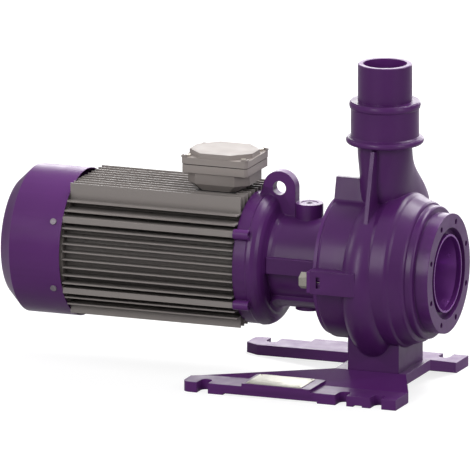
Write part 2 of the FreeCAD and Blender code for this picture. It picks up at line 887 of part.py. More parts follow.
def make_coupling():
    """Discharge coupling: a socket over the neck's spigot, two beads and a hose stub."""
    collar = "(coupling_radius + 4)"
    body = turned("discharge_coupling", [
        ("neck_radius + seat_gap", "neck_top"),
        *bead("neck_top", "neck_top + lower_bead_height", collar, f"lower_bead_radius - {collar}"),
        ("coupling_radius", "neck_top + lower_bead_height + 3"),
        *bead("coupling_top - upper_bead_height", "coupling_top", "coupling_radius",
            "upper_bead_radius - coupling_radius", 4),
        ("hose_radius", "coupling_top"),
        ("hose_radius", "discharge_top - 2"),
        ("hose_radius - 2", "discharge_top"),
        ("discharge_bore", "discharge_top"),
        ("discharge_bore", "spigot_top"),
        ("neck_radius + seat_gap", "spigot_top"),
    ], "V_Axis")
    place(body, "discharge_x")
    node("discharge_coupling", group("discharge_coupling", [body]))


def make_liner():
    """Suction liner: a cone that ends in a wear plate before the impeller, held by four screws."""
    body = turned("liner_turned", [
        ("-liner_setback", "liner_mouth_radius"),
        ("-liner_setback", "liner_radius"),
        ("chamber_x", "liner_radius"),
        ("chamber_x", "chamber_radius - 2"),
        ("liner_back_x", "chamber_radius - 2"),
        ("liner_back_x", "liner_throat_radius"),
        ("-liner_setback - liner_mouth_depth", "liner_mouth_radius"),
    ])
    holes = []
    screws = []
    for k in range(4):
        start = ("liner_back_x", *liner_screw_place(k))
        holes.append(rod(f"liner_screw_hole_{k + 1}", "x", ("liner_back_x - 1", *liner_screw_place(k)),
            "liner_screw_radius + bolt_play", "liner_plate + 2"))
        holes.append(rod(f"liner_counterbore_{k + 1}", "x", ("liner_back_x - 1", *liner_screw_place(k)),
            "1.8*liner_screw_radius + bolt_play", "liner_plate/2 + 1"))
        head = rod(f"liner_head_{k + 1}", "x", start, "1.8*liner_screw_radius", "liner_plate/2")
        shank = rod(f"liner_shank_{k + 1}", "x", start, "liner_screw_radius", "liner_screw_length")
        screws.append(fused(f"liner_screw_{k + 1}", [head, shank]))
    node("suction_liner", cut("suction_liner", body, holes))
    node("liner_screws", group("liner_screws", screws))


def make_impeller():
    """Open impeller: hub, back shroud and swept blades that run close to the liner plate."""
    body = doc.addObject("PartDesign::Body", "impeller_body")
    profile = outline(body, "XZ_Plane", "impeller_profile", [
        ("-hub_front", "impeller_shaft_radius + running_gap/2"),
        ("-hub_front", "hub_radius - 6"),
        *bend("shroud_x + hub_round", "hub_radius + hub_round", "hub_round", 270, 180),
        ("shroud_x", "impeller_radius"),
        ("shroud_back_x", "impeller_radius"),
        ("shroud_back_x", "hub_radius"),
        ("-hub_rear", "hub_radius"),
        ("-hub_rear", "impeller_shaft_radius + running_gap/2"),
    ])
    turn = body.newObject("PartDesign::Revolution", "impeller_turn")
    turn.Profile = (profile, [""])
    turn.ReferenceAxis = (profile, ["H_Axis"])
    turn.Angle = 360

    def on_arc(radius, angle):
        return f"-blade_arc_back + ({radius})*cos({angle})", f"-blade_arc_side + ({radius})*sin({angle})"

    inside = "blade_arc_radius - blade_thickness"
    blade = outline(body, "YZ_Plane", "blade_profile", [
        on_arc("blade_arc_radius", "blade_arc_start"),
        (*on_arc("blade_arc_radius", "-blade_arc_end"), "blade_arc_radius", "right"),
        on_arc(inside, "-blade_arc_end"),
        (*on_arc(inside, "blade_arc_start"), inside, "left"),
    ])
    bind(blade, "AttachmentOffset.Base.z", "shroud_x - 1")
    pad = body.newObject("PartDesign::Pad", "blade")
    pad.Profile = (blade, [""])
    bind(pad, "Length", "shroud_depth - chamber_depth - liner_plate - blade_gap + 1")
    doc.recompute()
    repeated(body, pad, "blade_count")
    keyway = box("impeller_keyway", ("-hub_rear - 1", "-hub_front + 1"),
        ("-impeller_key_width/2", "impeller_key_width/2"),
        ("0", "impeller_shaft_radius + impeller_key_height/2 + seat_gap"))
    node("impeller", cut("impeller", body, [keyway]))
    node("impeller_key", group("impeller_key", [box("impeller_key_bar",
        ("-hub_rear + 14", "-hub_rear + 14 + impeller_key_length"),
        ("-impeller_key_width/2 + running_gap", "impeller_key_width/2 - running_gap"),
        ("impeller_shaft_radius - impeller_key_height/2", "impeller_shaft_radius + impeller_key_height/2"))]))
    washer = ring("washer_ring", "-hub_front + washer_thickness", "-hub_front",
        "impeller_bolt_radius + running_gap", "washer_radius")
    node("impeller_washer", washer)
    node("impeller_bolt", fused("impeller_bolt", [
        rod("impeller_bolt_shank", "-x", ("-hub_front + washer_thickness", "0", "0"), "impeller_bolt_radius",
            "impeller_bolt_length"),
        hexagon("impeller_bolt_hexagon", "x", ("-hub_front + washer_thickness", "0", "0"),
            "2*impeller_bolt_head", "impeller_bolt_head"),
    ]))


def make_cover():
    """Casing cover between the impeller and the oil chamber, with the stationary half of the shaft seal."""
    skirt_radius = "chamber_radius - seat_gap"
    groove_x = "joint_x + 22"
    body = turned("casing_cover", [
        ("cover_x", "hub_radius + cover_gap"),
        ("cover_x", skirt_radius),
        (f"{groove_x} + ring_section + 1", skirt_radius),
        (f"{groove_x} + ring_section + 1", f"{skirt_radius} - ring_section"),
        (groove_x, f"{skirt_radius} - ring_section"),
        (groove_x, skirt_radius),
        ("joint_x", skirt_radius),
        ("joint_x", "chamber_radius - cover_skirt"),
        ("cover_back_x", "chamber_radius - cover_skirt"),
        ("cover_back_x", "cover_hub_radius"),
        ("cover_back_x - cover_hub_length", "cover_hub_radius"),
        ("cover_back_x - cover_hub_length", "seat_outer_radius + running_gap"),
        ("seat_x", "seat_outer_radius + running_gap"),
        ("seat_x", "seat_inner_radius"),
        ("-hub_rear - cover_gap", "seat_inner_radius"),
        ("-hub_rear - cover_gap", "hub_radius + cover_gap"),
    ])
    node("casing_cover", body)
    node("cover_o_ring", ring("cover_o_ring", f"{groove_x} + ring_section + 0.5", f"{groove_x} + 0.5",
        f"{skirt_radius} - ring_section + running_gap", "chamber_radius - running_gap"))
    node("seal_seat", ring("seal_seat", "seat_x", "seat_x - seat_length", "seat_inner_radius",
        "seat_outer_radius"))
    node("seal_face", ring("seal_face", "face_x", "face_x - face_length", "seal_shaft_radius + 0.5",
        "face_outer_radius"))
    fold = "bellows_length/5"
    folds = [("bellows_x", "seal_shaft_radius")]
    for k in range(6):
        radius = "bellows_radius" if k % 2 == 0 else "bellows_radius - 4"
        folds.append((f"bellows_x - {k}*{fold}", radius))
    folds.append(("bellows_x - bellows_length", "seal_shaft_radius"))
    node("seal_bellows", turned("seal_bellows", folds))


def make_shaft():
    """One stepped shaft carries the impeller, the seal, both bearings, the rotor core and the fan."""
    body = turned("shaft_turned", [
        ("-hub_front - 2", "0"),
        ("-hub_front - 2", "impeller_shaft_radius - 1"),
        ("-hub_front - 3", "impeller_shaft_radius"),
        ("-hub_rear", "impeller_shaft_radius"),
        ("-hub_rear", "seal_shaft_radius"),
        ("-core_shaft_front", "seal_shaft_radius"),
        ("-core_shaft_front", "core_shaft_radius"),
        ("-core_shaft_rear", "core_shaft_radius"),
        ("-core_shaft_rear", "rear_shaft_radius"),
        ("-fan_shaft_front", "rear_shaft_radius"),
        ("-fan_shaft_front", "fan_shaft_radius"),
        ("-shaft_rear + 2", "fan_shaft_radius"),
        ("-shaft_rear", "fan_shaft_radius - 2"),
        ("-shaft_rear", "0"),
    ])
    hollows = [
        rod("shaft_thread", "-x", ("-hub_front - 1", "0", "0"), "impeller_bolt_radius + running_gap",
            "impeller_bolt_length + 4"),
        box("shaft_keyway", ("-hub_rear + 14", "-hub_rear + 14 + impeller_key_length"),
            ("-impeller_key_width/2 + running_gap", "impeller_key_width/2 - running_gap"),
            ("impeller_shaft_radius - impeller_key_height/2", "impeller_shaft_radius + 5")),
        box("fan_shaft_keyway", ("fan_end_x + 14", "fan_end_x + 14 + fan_key_length"),
            ("-fan_key_size/2 + running_gap", "fan_key_size/2 - running_gap"),
            ("fan_shaft_radius - fan_key_size/2", "fan_shaft_radius + 5")),
        ring("circlip_groove", "fan_end_x", "fan_end_x - circlip_thickness - 0.1",
            "fan_shaft_radius - circlip_height/2", "fan_shaft_radius + 5"),
    ]
    node("shaft", cut("shaft", body, hollows))


def make_bearing(name, start, width, inner, outer, ball):
    """Deep groove ball bearing: outer ring, inner ring, and the balls held in their cage.

    The balls are drawn as short barrels, and the grooves as flat channels, to keep their faces few.
    """
    middle = f"({start} - {width}/2)"
    pitch = f"(({inner} + {outer})/2)"
    groove = f"({ball} + running_gap)"
    land = "race_land"
    half = f"sqrt({groove}^2 - ({pitch} - {inner} - {land})^2)"
    node(f"{name}_inner", turned(f"{name}_inner", [
        (start, inner),
        (start, f"{inner} + {land}"),
        (f"{middle} + {half}", f"{inner} + {land}"),
        (f"{middle} + {half}", f"{pitch} - {groove}"),
        (f"{middle} - {half}", f"{pitch} - {groove}"),
        (f"{middle} - {half}", f"{inner} + {land}"),
        (f"{start} - {width}", f"{inner} + {land}"),
        (f"{start} - {width}", inner),
    ]))
    node(f"{name}_outer", turned(f"{name}_outer", [
        (start, f"{outer} - {land}"),
        (start, outer),
        (f"{start} - {width}", outer),
        (f"{start} - {width}", f"{outer} - {land}"),
        (f"{middle} - {half}", f"{outer} - {land}"),
        (f"{middle} - {half}", f"{pitch} + {groove}"),
        (f"{middle} + {half}", f"{pitch} + {groove}"),
        (f"{middle} + {half}", f"{outer} - {land}"),
    ]))
    cage = ring(f"{name}_cage", f"{middle} + 3", f"{middle} - 3", f"{pitch} - cage_thickness/2",
        f"{pitch} + cage_thickness/2")
    balls = [cage]
    count = int(value("ball_count"))
    for k in range(count):
        centre = (f"{pitch}*cos({k}*360/{count})", f"{pitch}*sin({k}*360/{count})")
        balls.append(rod(f"{name}_ball_{k + 1}", "x", (f"{middle} - 0.35*{ball}", *centre), ball,
            f"0.7*{ball}"))
        for end, way, axis in (("front", 1, "x"), ("rear", -1, "-x")):
            cap = doc.addObject("Part::Cone", f"{name}_ball_{k + 1}_{end}")
            bind(cap, "Radius1", f"0.937*{ball}")
            bind(cap, "Radius2", f"0.45*{ball}")
            bind(cap, "Height", f"0.54*{ball}")
            balls.append(place(cap, f"{middle} + {way}*0.35*{ball}", *centre, rotation=ALONG[axis]))
    node(f"{name}_balls", fused(f"{name}_balls", balls))


def make_bearings():
    make_bearing("front_bearing", "front_bearing_x", "front_bearing_width", "seal_shaft_radius",
        "front_bearing_outer_radius", "front_ball_radius")
    make_bearing("rear_bearing", "rear_bearing_x", "rear_bearing_width", "rear_shaft_radius",
        "rear_bearing_outer_radius", "rear_ball_radius")
    node("bearing_cap", ring("bearing_cap", "front_bearing_end_x", "front_bearing_end_x - cap_thickness",
        "seal_shaft_radius + 2", "cap_outer_radius"))
    node("lip_seal", ring("lip_seal", "oil_end_x", "oil_end_x - lip_seal_width",
        "seal_shaft_radius + running_gap", "lip_seal_radius"))
    node("wave_spring", ring("wave_spring", "rear_bearing_end_x", "rear_bearing_end_x - spring_thickness",
        "rear_bearing_outer_radius - race_land", "rear_bearing_outer_radius - 0.5"))


def make_bracket():
    """Bearing bracket: lantern with oil chamber, bell to the motor, lifting eye, ribs and plug bosses."""
    shell = turned("bracket_shell", [
        ("joint_x", "0"),
        ("joint_x", "lantern_radius"),
        ("lantern_x", "lantern_radius"),
        *bend("lantern_x - neck_fillet", "neck_outer_radius + neck_fillet", "neck_fillet", 360, 270, 2),
        *bend("bell_face_x + bell_fillet", "neck_outer_radius + bell_fillet", "bell_fillet", 270, 190),
        *bend("bell_face_x - bell_round", "bell_radius - bell_round", "bell_round", 10, 90, 5),
        ("frame_x + band_width", "band_radius"),
        ("frame_x", "band_radius"),
        ("frame_x", "stator_radius - seat_gap/2"),
        ("frame_x - spigot_depth", "stator_radius - seat_gap/2"),
        ("frame_x - spigot_depth", "0"),
    ])
    pieces = [shell]
    hollows = [
        rod("oil_chamber", "-x", ("joint_x + 1", "0", "0"), "lantern_bore", "oil_chamber_length + 1"),
        rod("lip_seal_seat", "-x", ("joint_x", "0", "0"), "lip_seal_radius",
            "oil_chamber_length + lip_seal_width"),
        rod("shaft_way", "-x", ("joint_x", "0", "0"), "seal_shaft_radius + 4", "frame_length"),
        rod("front_bearing_seat", "-x", ("front_bearing_x", "0", "0"), "front_bearing_outer_radius",
            "frame_length"),
        turned("bell_hollow", [
            ("front_bearing_end_x", "0"),
            ("front_bearing_end_x", "cap_outer_radius + 2"),
            ("front_bearing_end_x - cap_thickness", "cap_outer_radius + 2"),
            ("frame_x + band_width + 4", "bell_bore - 10"),
            ("frame_x - spigot_depth - 1", "bell_bore - 10"),
            ("frame_x - spigot_depth - 1", "0"),
        ]),
    ]
    for side, sign in SIDES:
        near, far = f"{sign}*(chamber_radius - 20)", f"{sign}*lug_reach"
        pieces.append(box(f"clamp_ear_{side}", ("lantern_x", "joint_x"),
            (near, far) if sign > 0 else (far, near), ("-lug_half_height + 3", "lug_half_height - 3")))
        hollows.append(rod(f"ear_hole_{side}", "-x", ("joint_x + 1", f"{sign}*clamp_bolt_y", "0"),
            "clamp_bolt_radius + bolt_play", "lantern_flange + 2"))
        near, far = f"{sign}*(lantern_bore + 6)", f"{sign}*rib_reach"
        pieces.append(box(f"neck_rib_{side}", ("lantern_x - rib_length", "lantern_x + 1"),
            (near, far) if sign > 0 else (far, near), ("rib_bottom", "rib_top")))
        hollows.append(neck_pocket(side, sign))
        for level, up in (("high", 1), ("low", -1)):
            pieces.append(rod(f"tie_lug_{level}_{side}", "x", ("frame_x", f"{sign}*tie_y", f"{up}*tie_z"),
                "lug_radius", "tie_lug_length"))
            hollows.append(rod(f"tie_hole_{level}_{side}", "x",
                ("frame_x - 1", f"{sign}*tie_y", f"{up}*tie_z"),
                "tie_radius + bolt_play", "tie_lug_length + 2"))
            hollows.append(rod(f"tie_seat_{level}_{side}", "x",
                ("frame_x + tie_lug_length - tie_seat_depth", f"{sign}*tie_y", f"{up}*tie_z"),
                "tie_head_radius + bolt_play", "tie_seat_depth + 20"))
    pieces.append(rod("fill_boss", "z", ("-boss_depth", "0", "lantern_bore + 4"), "boss_radius",
        "boss_height - lantern_bore - 4"))
    pieces.append(rod("drain_boss", "-z", ("-boss_depth", "0", "-(lantern_bore + 4)"), "boss_radius",
        "drain_boss_height - lantern_bore - 4"))
    hollows.append(rod("fill_counterbore", "-z", ("-boss_depth", "0", "boss_height + 1"),
        "plug_radius + seat_gap", "plug_depth + 1"))
    hollows.append(rod("fill_hole", "-z", ("-boss_depth", "0", "boss_height"),
        "plug_thread_radius + running_gap", "boss_height - lantern_bore + 12"))
    hollows.append(rod("drain_counterbore", "z", ("-boss_depth", "0", "-drain_boss_height - 1"),
        "plug_radius + seat_gap", "plug_depth + 1"))
    hollows.append(rod("drain_hole", "z", ("-boss_depth", "0", "-drain_boss_height"),
        "plug_thread_radius + running_gap", "drain_boss_height - lantern_bore + 12"))
    right, left = "-eye_depth + eye_radius", "-eye_depth - eye_radius"
    pieces.append(padded("lifting_eye", "XZ_Plane", [
        (right, "lantern_bore + 8"),
        (right, "eye_height"),
        ("-eye_depth", "eye_height + eye_radius", "eye_radius", "left"),
        (left, "eye_height", "eye_radius", "left"),
        (f"{left} - 14", "band_radius - 12"),
        (f"{left} - 14", "lantern_bore + 30"),
    ], "-eye_thickness/2", "eye_thickness"))
    hollows.append(rod("eye_hole", "y", ("-eye_depth", "-eye_thickness", "eye_height"), "eye_hole_radius",
        "2*eye_thickness"))
    node("bearing_bracket", cut("bearing_bracket", fused("bracket_solid", pieces), hollows))
    for label, turn, z in (("oil_fill_plug", "-z", "boss_height - 1"),
        ("oil_drain_plug", "z", "-drain_boss_height + 1")):
        cap = rod(label + "_cap", turn, ("-boss_depth", "0", z), "plug_radius", "plug_depth - 1")
        thread = rod(label + "_thread", turn, ("-boss_depth", "0", z), "plug_thread_radius",
            "plug_depth + 14")
        socket = hexagon(label + "_socket", turn, ("-boss_depth", "0", z), "2*plug_socket", "plug_depth - 5")
        node(label, cut(label, fused(label + "_solid", [cap, thread]), [socket]))


def neck_pocket(side, sign):
    """Recess in the side of the neck below the rib: part of a ring, cut to the depth of the pocket."""
    ring_angle = value("pocket_angle")
    top_angle = math.degrees(math.asin(-value("rib_bottom") / value("neck_outer_radius")))
    sector = doc.addObject("Part::Cylinder", f"pocket_sector_{side}")
    bind(sector, "Radius", "neck_outer_radius + bell_fillet + 2")
    bind(sector, "Height", "lantern_x - pocket_end - bell_face_x")
    bind(sector, "Angle", "pocket_angle")
    # The cylinder's own angle starts at its X axis, which the rotation lays on +Y or -Y before it tilts down
    lay = turn_about((0, 1, 0), 90)
    first = -top_angle - ring_angle if sign > 0 else 180 + top_angle
    spin = turn_about((1, 0, 0), first + 90)
    place(sector, "bell_face_x", rotation=spin.multiply(lay))
    core = rod(f"pocket_core_{side}", "x", ("bell_face_x - 10", "0", "0"), "pocket_radius",
        "neck_length + 60")
    return cut(f"neck_pocket_{side}", sector, [core])


def make_clamp_bolts():
    bolts = []
    for side, sign in SIDES:
        start = ("lantern_x", f"{sign}*clamp_bolt_y", "0")
        head = hexagon(f"clamp_head_{side}", "-x", start, "clamp_head_width", "clamp_head_height")
        shank = rod(f"clamp_shank_{side}", "x", start, "clamp_bolt_radius", "clamp_bolt_length")
        bolts.append(fused(f"clamp_bolt_{side}", [head, shank]))
    node("clamp_bolts", group("clamp_bolts", bolts))


def fin_bar(name, level, reach, thickness):
    """Level fins of both sides as one bar, which the bore of the barrel cuts in two."""
    return box(name, ("frame_end_x", "frame_x"), (f"-{reach}", reach),
        (f"{level} - {thickness}/2", f"{level} + {thickness}/2"))


def make_frame():
    """Motor frame: an extruded barrel with level side fins, upright top and bottom fins and tie rod ribs."""
    pieces = [rod("barrel", "-x", ("frame_x", "0", "0"), "barrel_radius", "frame_length")]
    for up_name, up in (("high", 1), ("low", -1)):
        for k in range(7):
            level = f"({up}*(0.5 + {k})*fin_pitch)"
            name = f"side_fin_{up_name}_{k + 1}"
            if k == 4:
                pieces.append(fin_bar(f"tie_rib_{up_name}", f"({up}*tie_z)", "tie_boss_reach",
                    "tie_boss_thickness"))
                continue
            if k == 6:
                level = f"({up}*corner_fin_height)"
            reach = f"min(fin_reach; sqrt(fin_corner_radius^2 - {level}^2))"
            pieces.append(fin_bar(name, level, reach, "fin_thickness"))
        top = "top_fin_height" if up > 0 else "bottom_fin_height"
        for side, sign in SIDES:
            for k in range(5):
                across = f"({sign}*(0.5 + {k})*top_fin_pitch)" if k < 4 else f"({sign}*corner_fin_y)"
                root = "barrel_radius - 40" if k < 4 else "corner_fin_height"
                low, high = (root, top) if up > 0 else (f"-{top}", f"-({root})")
                pieces.append(box(f"upright_fin_{up_name}_{side}_{k + 1}", ("frame_end_x", "frame_x"),
                    (f"{across} - fin_thickness/2", f"{across} + fin_thickness/2"), (low, high)))
    pieces.append(box("box_seat", ("box_x_centre - box_foot_x/2 - 4", "box_x_centre + box_foot_x/2 + 4"),
        ("-box_foot_y/2 - 3", "box_foot_y/2 + 3"), ("stator_radius - 10", "box_foot_z")))
    hollows = [
        rod("stator_bore", "-x", ("frame_x + 1", "0", "0"), "stator_radius", "frame_length + 2"),
        rod("cable_way", "z", ("box_x_centre", "0", "stator_radius - 30"), "cable_hole_radius", "60"),
    ]
    hollows.append(box("box_seat_level", ("box_x_centre - box_foot_x/2 - 4",
        "box_x_centre + box_foot_x/2 + 4"),
        ("-box_foot_y/2 - 3", "box_foot_y/2 + 3"), ("box_foot_z", "top_fin_height + 10")))
    for side, sign in SIDES:
        for level, up in (("high", 1), ("low", -1)):
            hollows.append(rod(f"tie_way_{level}_{side}", "-x",
                ("frame_x + 1", f"{sign}*tie_y", f"{up}*tie_z"),
                "tie_radius + bolt_play", "frame_length + 2"))
    node("motor_frame", cut("motor_frame", fused("frame_solid", pieces), hollows))
    rods = []
    seat = "frame_x + tie_lug_length - tie_seat_depth"
    for side, sign in SIDES:
        for level, up in (("high", 1), ("low", -1)):
            start = (seat, f"{sign}*tie_y", f"{up}*tie_z")
            head = rod(f"tie_head_{level}_{side}", "x", start, "tie_head_radius", "tie_head_height")
            long_rod = rod(f"tie_rod_{level}_{side}", "-x", start, "tie_radius",
                "tie_lug_length - tie_seat_depth + frame_length + rear_flange_thickness - 1")
            socket = hexagon(f"tie_socket_{level}_{side}", "x", (f"{seat} + 2", *start[1:]), "tie_socket",
                "tie_head_height")
            rods.append(cut(f"tie_bolt_{level}_{side}", fused(f"tie_bolt_solid_{level}_{side}", [head,
                long_rod]),
                [socket]))
    node("tie_bolts", group("tie_bolts", rods))


def make_motor_core():
    """Stator core and windings in the frame, rotor core and its end rings on the shaft."""
    node("stator_core", ring("stator_core", "core_x", "core_end_x", "core_radius + air_gap", "stator_radius"))
    windings = []
    for end, start, way in (("front", "core_x", 1), ("rear", "core_end_x", -1)):
        windings.append(turned(f"winding_{end}", [
            (start, "winding_inner_radius"),
            (start, "winding_outer_radius"),
            (f"{start} + {way}*(winding_length - 8)", "winding_outer_radius"),
            (f"{start} + {way}*winding_length", "winding_outer_radius - 8"),
            (f"{start} + {way}*winding_length", "winding_inner_radius + 6"),
            (f"{start} + {way}*(winding_length - 6)", "winding_inner_radius"),
        ]))
    node("stator_windings", group("stator_windings", windings))
    node("rotor_core", ring("rotor_core", "core_x", "core_end_x", "core_shaft_radius", "core_radius"))
    node("rotor_end_rings", group("rotor_end_rings", [
        ring("end_ring_front", "core_x + end_ring_length", "core_x", "end_ring_inner_radius",
            "core_radius - 1"),
        ring("end_ring_rear", "core_end_x", "core_end_x - end_ring_length", "end_ring_inner_radius",
            "core_radius - 1"),
    ]))


def cowl_screw_angles():
    lean = value("cowl_screw_angle")
    return (lean, 180 - lean, 180 + lean, 360 - lean)


def radial(name, shape, angle, x, inner, length):
    """Piece that stands out from the shaft at an angle from +Y towards +Z."""
    outward = turn_about((1, 0, 0), angle - 90)
    bind(shape, "Height", length)
    return place(shape, x, f"({inner})*cos({angle})", f"({inner})*sin({angle})", rotation=outward)


def radial_rod(name, angle, x, radius, inner, length):
    item = doc.addObject("Part::Cylinder", name)
    bind(item, "Radius", radius)
    return radial(name, item, angle, x, inner, length)


def make_rear_end():
    """Rear end shield with the rear bearing seat and the bosses that carry the fan cover."""
    shell = turned("rear_shield_shell", [
        ("frame_end_x + spigot_depth", "0"),
        ("frame_end_x + spigot_depth", "stator_radius - seat_gap/2"),
        ("frame_end_x", "stator_radius - seat_gap/2"),
        ("frame_end_x", "rear_flange_radius"),
        ("rear_shield_x", "rear_flange_radius"),
        *bend("rear_shield_x - rear_fillet", "rear_hub_radius + rear_fillet", "rear_fillet", 360, 270),
        ("frame_end_x - rear_hub_length", "rear_hub_radius"),
        ("frame_end_x - rear_hub_length", "0"),
    ])
    pieces = [shell]
    hollows = [
        rod("rear_bearing_seat", "-x", ("frame_end_x + spigot_depth + 1", "0", "0"),
            "rear_bearing_outer_radius",
            "rear_bearing_depth + rear_bearing_width + spring_thickness - (-frame_end_x - spigot_depth - 1)"),
        rod("rear_shaft_way", "-x", ("frame_end_x", "0", "0"), "rear_shaft_radius + 3",
            "rear_hub_length + 2"),
        turned("rear_hollow", [
            ("frame_end_x + spigot_depth + 1", "rear_hub_radius"),
            ("frame_end_x + spigot_depth + 1", "stator_radius - 8"),
            ("frame_end_x", "stator_radius - 8"),
            ("frame_end_x", "rear_hub_radius"),
        ]),
        ring("cowl_seat", "frame_end_x + 1", "cowl_end_x", "cowl_radius - cowl_sheet - seat_gap",
            "cowl_radius + 20"),
    ]
    for angle in cowl_screw_angles():
        tag = round(angle)
        boss = radial_rod(f"cowl_boss_{tag}", angle, "-cowl_screw_depth", "cowl_boss_radius",
            "rear_flange_radius - 30", "cowl_radius - cowl_sheet - seat_gap - (rear_flange_radius - 30)")
        arm = radial_rod(f"cowl_arm_{tag}", angle, "frame_end_x - cowl_boss_radius - seat_gap",
            "cowl_boss_radius", "rear_flange_radius - 30", "28")
        pieces += [boss, arm]
        hollows.append(radial_rod(f"cowl_tap_{tag}", angle, "-cowl_screw_depth",
            "cowl_screw_radius + running_gap",
            "cowl_radius - cowl_sheet - cowl_screw_length", "cowl_screw_length + 5"))
    for side, sign in SIDES:
        for level, up in (("high", 1), ("low", -1)):
            place_yz = (f"{sign}*tie_y", f"{up}*tie_z")
            pieces.append(rod(f"rear_lug_{level}_{side}", "-x", ("frame_end_x", *place_yz), "lug_radius",
                "rear_flange_thickness"))
            hollows.append(rod(f"rear_tie_tap_{level}_{side}", "-x", ("frame_end_x + 1", *place_yz),
                "tie_radius + running_gap", "rear_flange_thickness + 0.5"))
    node("rear_end_shield", cut("rear_end_shield", fused("rear_shield_solid", pieces), hollows))


def make_fan():
    """Radial fan on the rear end of the shaft, with its key and circlip."""
    body = doc.addObject("PartDesign::Body", "fan_body")
    profile = outline(body, "XZ_Plane", "fan_profile", [
        ("fan_x", "fan_shaft_radius + running_gap/2"),
        ("fan_x", "fan_hub_radius"),
        ("fan_x - 14", "fan_hub_radius"),
        ("fan_x - 14", "fan_radius"),
        ("fan_x - 14 - fan_disc_thickness", "fan_radius"),
        ("fan_x - 14 - fan_disc_thickness", "fan_hub_radius + 10"),
        ("fan_end_x", "fan_hub_radius"),
        ("fan_end_x", "fan_shaft_radius + running_gap/2"),
    ])
    turn = body.newObject("PartDesign::Revolution", "fan_turn")
    turn.Profile = (profile, [""])
    turn.ReferenceAxis = (profile, ["H_Axis"])
    turn.Angle = 360
    blade = outline(body, "YZ_Plane", "fan_blade_profile",
        rectangle(("fan_hub_radius - 4", "fan_radius"), ("-fan_blade_thickness/2", "fan_blade_thickness/2")))
    bind(blade, "AttachmentOffset.Base.z", "fan_end_x + 4")
    pad = body.newObject("PartDesign::Pad", "fan_blade")
    pad.Profile = (blade, [""])
    bind(pad, "Length", "fan_length - 14 - 6")
    doc.recompute()
    repeated(body, pad, "fan_blade_count")
    keyway = box("fan_keyway", ("fan_end_x - 1", "fan_x + 1"), ("-fan_key_size/2", "fan_key_size/2"),
        ("0", "fan_shaft_radius + fan_key_size/2 + seat_gap"))
    node("cooling_fan", cut("cooling_fan", body, [keyway]))
    node("fan_key", group("fan_key", [box("fan_key_bar", ("fan_end_x + 14",
        "fan_end_x + 14 + fan_key_length"),
        ("-fan_key_size/2 + running_gap", "fan_key_size/2 - running_gap"),
        ("fan_shaft_radius - fan_key_size/2", "fan_shaft_radius + fan_key_size/2"))]))
    node("fan_circlip", ring("fan_circlip", "fan_end_x - 0.05", "fan_end_x - 0.05 - circlip_thickness",
        "fan_shaft_radius - circlip_height/2", "fan_shaft_radius + circlip_height"))


def make_fan_cover():
    """Fan cover: a sheet shell with a cone, and rings of slots in its end for the air."""
    shell = turned("cowl_shell", [
        ("frame_end_x", "cowl_radius - cowl_sheet"),
        ("frame_end_x", "cowl_radius"),
        ("cowl_end_x + cowl_cone_length", "cowl_radius"),
        ("cowl_end_x", "cowl_end_radius"),
        ("cowl_end_x", "0"),
        ("cowl_end_x + cowl_sheet", "0"),
        ("cowl_end_x + cowl_sheet", "cowl_end_radius - cowl_sheet/2"),
        ("cowl_end_x + cowl_cone_length + cowl_sheet/2", "cowl_radius - cowl_sheet"),
    ])
    slots = []
    for k in range(5):
        inner = f"grille_first_radius + {k}*grille_pitch"
        slots.append(ring(f"grille_slot_{k + 1}", "cowl_end_x + cowl_sheet + 1", "cowl_end_x - 1", inner,
            f"{inner} + grille_slot"))
    bars = []
    for k in range(3):
        bar = doc.addObject("Part::Box", f"grille_bar_{k + 1}")
        bind(bar, "Length", "cowl_sheet")
        bind(bar, "Width", "2*(cowl_end_radius - 8)")
        bind(bar, "Height", "grille_bar")
        turn = math.radians(60 * k)
        half = "(cowl_end_radius - 8)"
        back_y = f"-{half}*{math.cos(turn):.9f} + grille_bar/2*{math.sin(turn):.9f}"
        back_z = f"-{half}*{math.sin(turn):.9f} - grille_bar/2*{math.cos(turn):.9f}"
        place(bar, "cowl_end_x", back_y, back_z, rotation=turn_about((1, 0, 0), 60 * k))
        bars.append(bar)
    grille = fused("cowl_with_bars", [cut("cowl_slotted", shell, slots)] + bars)
    holes = []
    screws = []
    for angle in cowl_screw_angles():
        tag = round(angle)
        holes.append(radial_rod(f"cowl_hole_{tag}", angle, "-cowl_screw_depth",
            "cowl_screw_radius + bolt_play", "cowl_radius - 20", "30"))
        shank = radial_rod(f"cowl_shank_{tag}", angle, "-cowl_screw_depth", "cowl_screw_radius",
            "cowl_radius - cowl_sheet - cowl_screw_length + 4", "cowl_screw_length - 1")
        head = radial_rod(f"cowl_head_{tag}", angle, "-cowl_screw_depth", "cowl_screw_head_radius",
            "cowl_radius + 0.1", "cowl_screw_head_height")
        screws.append(fused(f"cowl_screw_{tag}", [shank, head]))
    node("fan_cover", cut("fan_cover", grille, holes))
    node("fan_cover_screws", group("fan_cover_screws", screws))


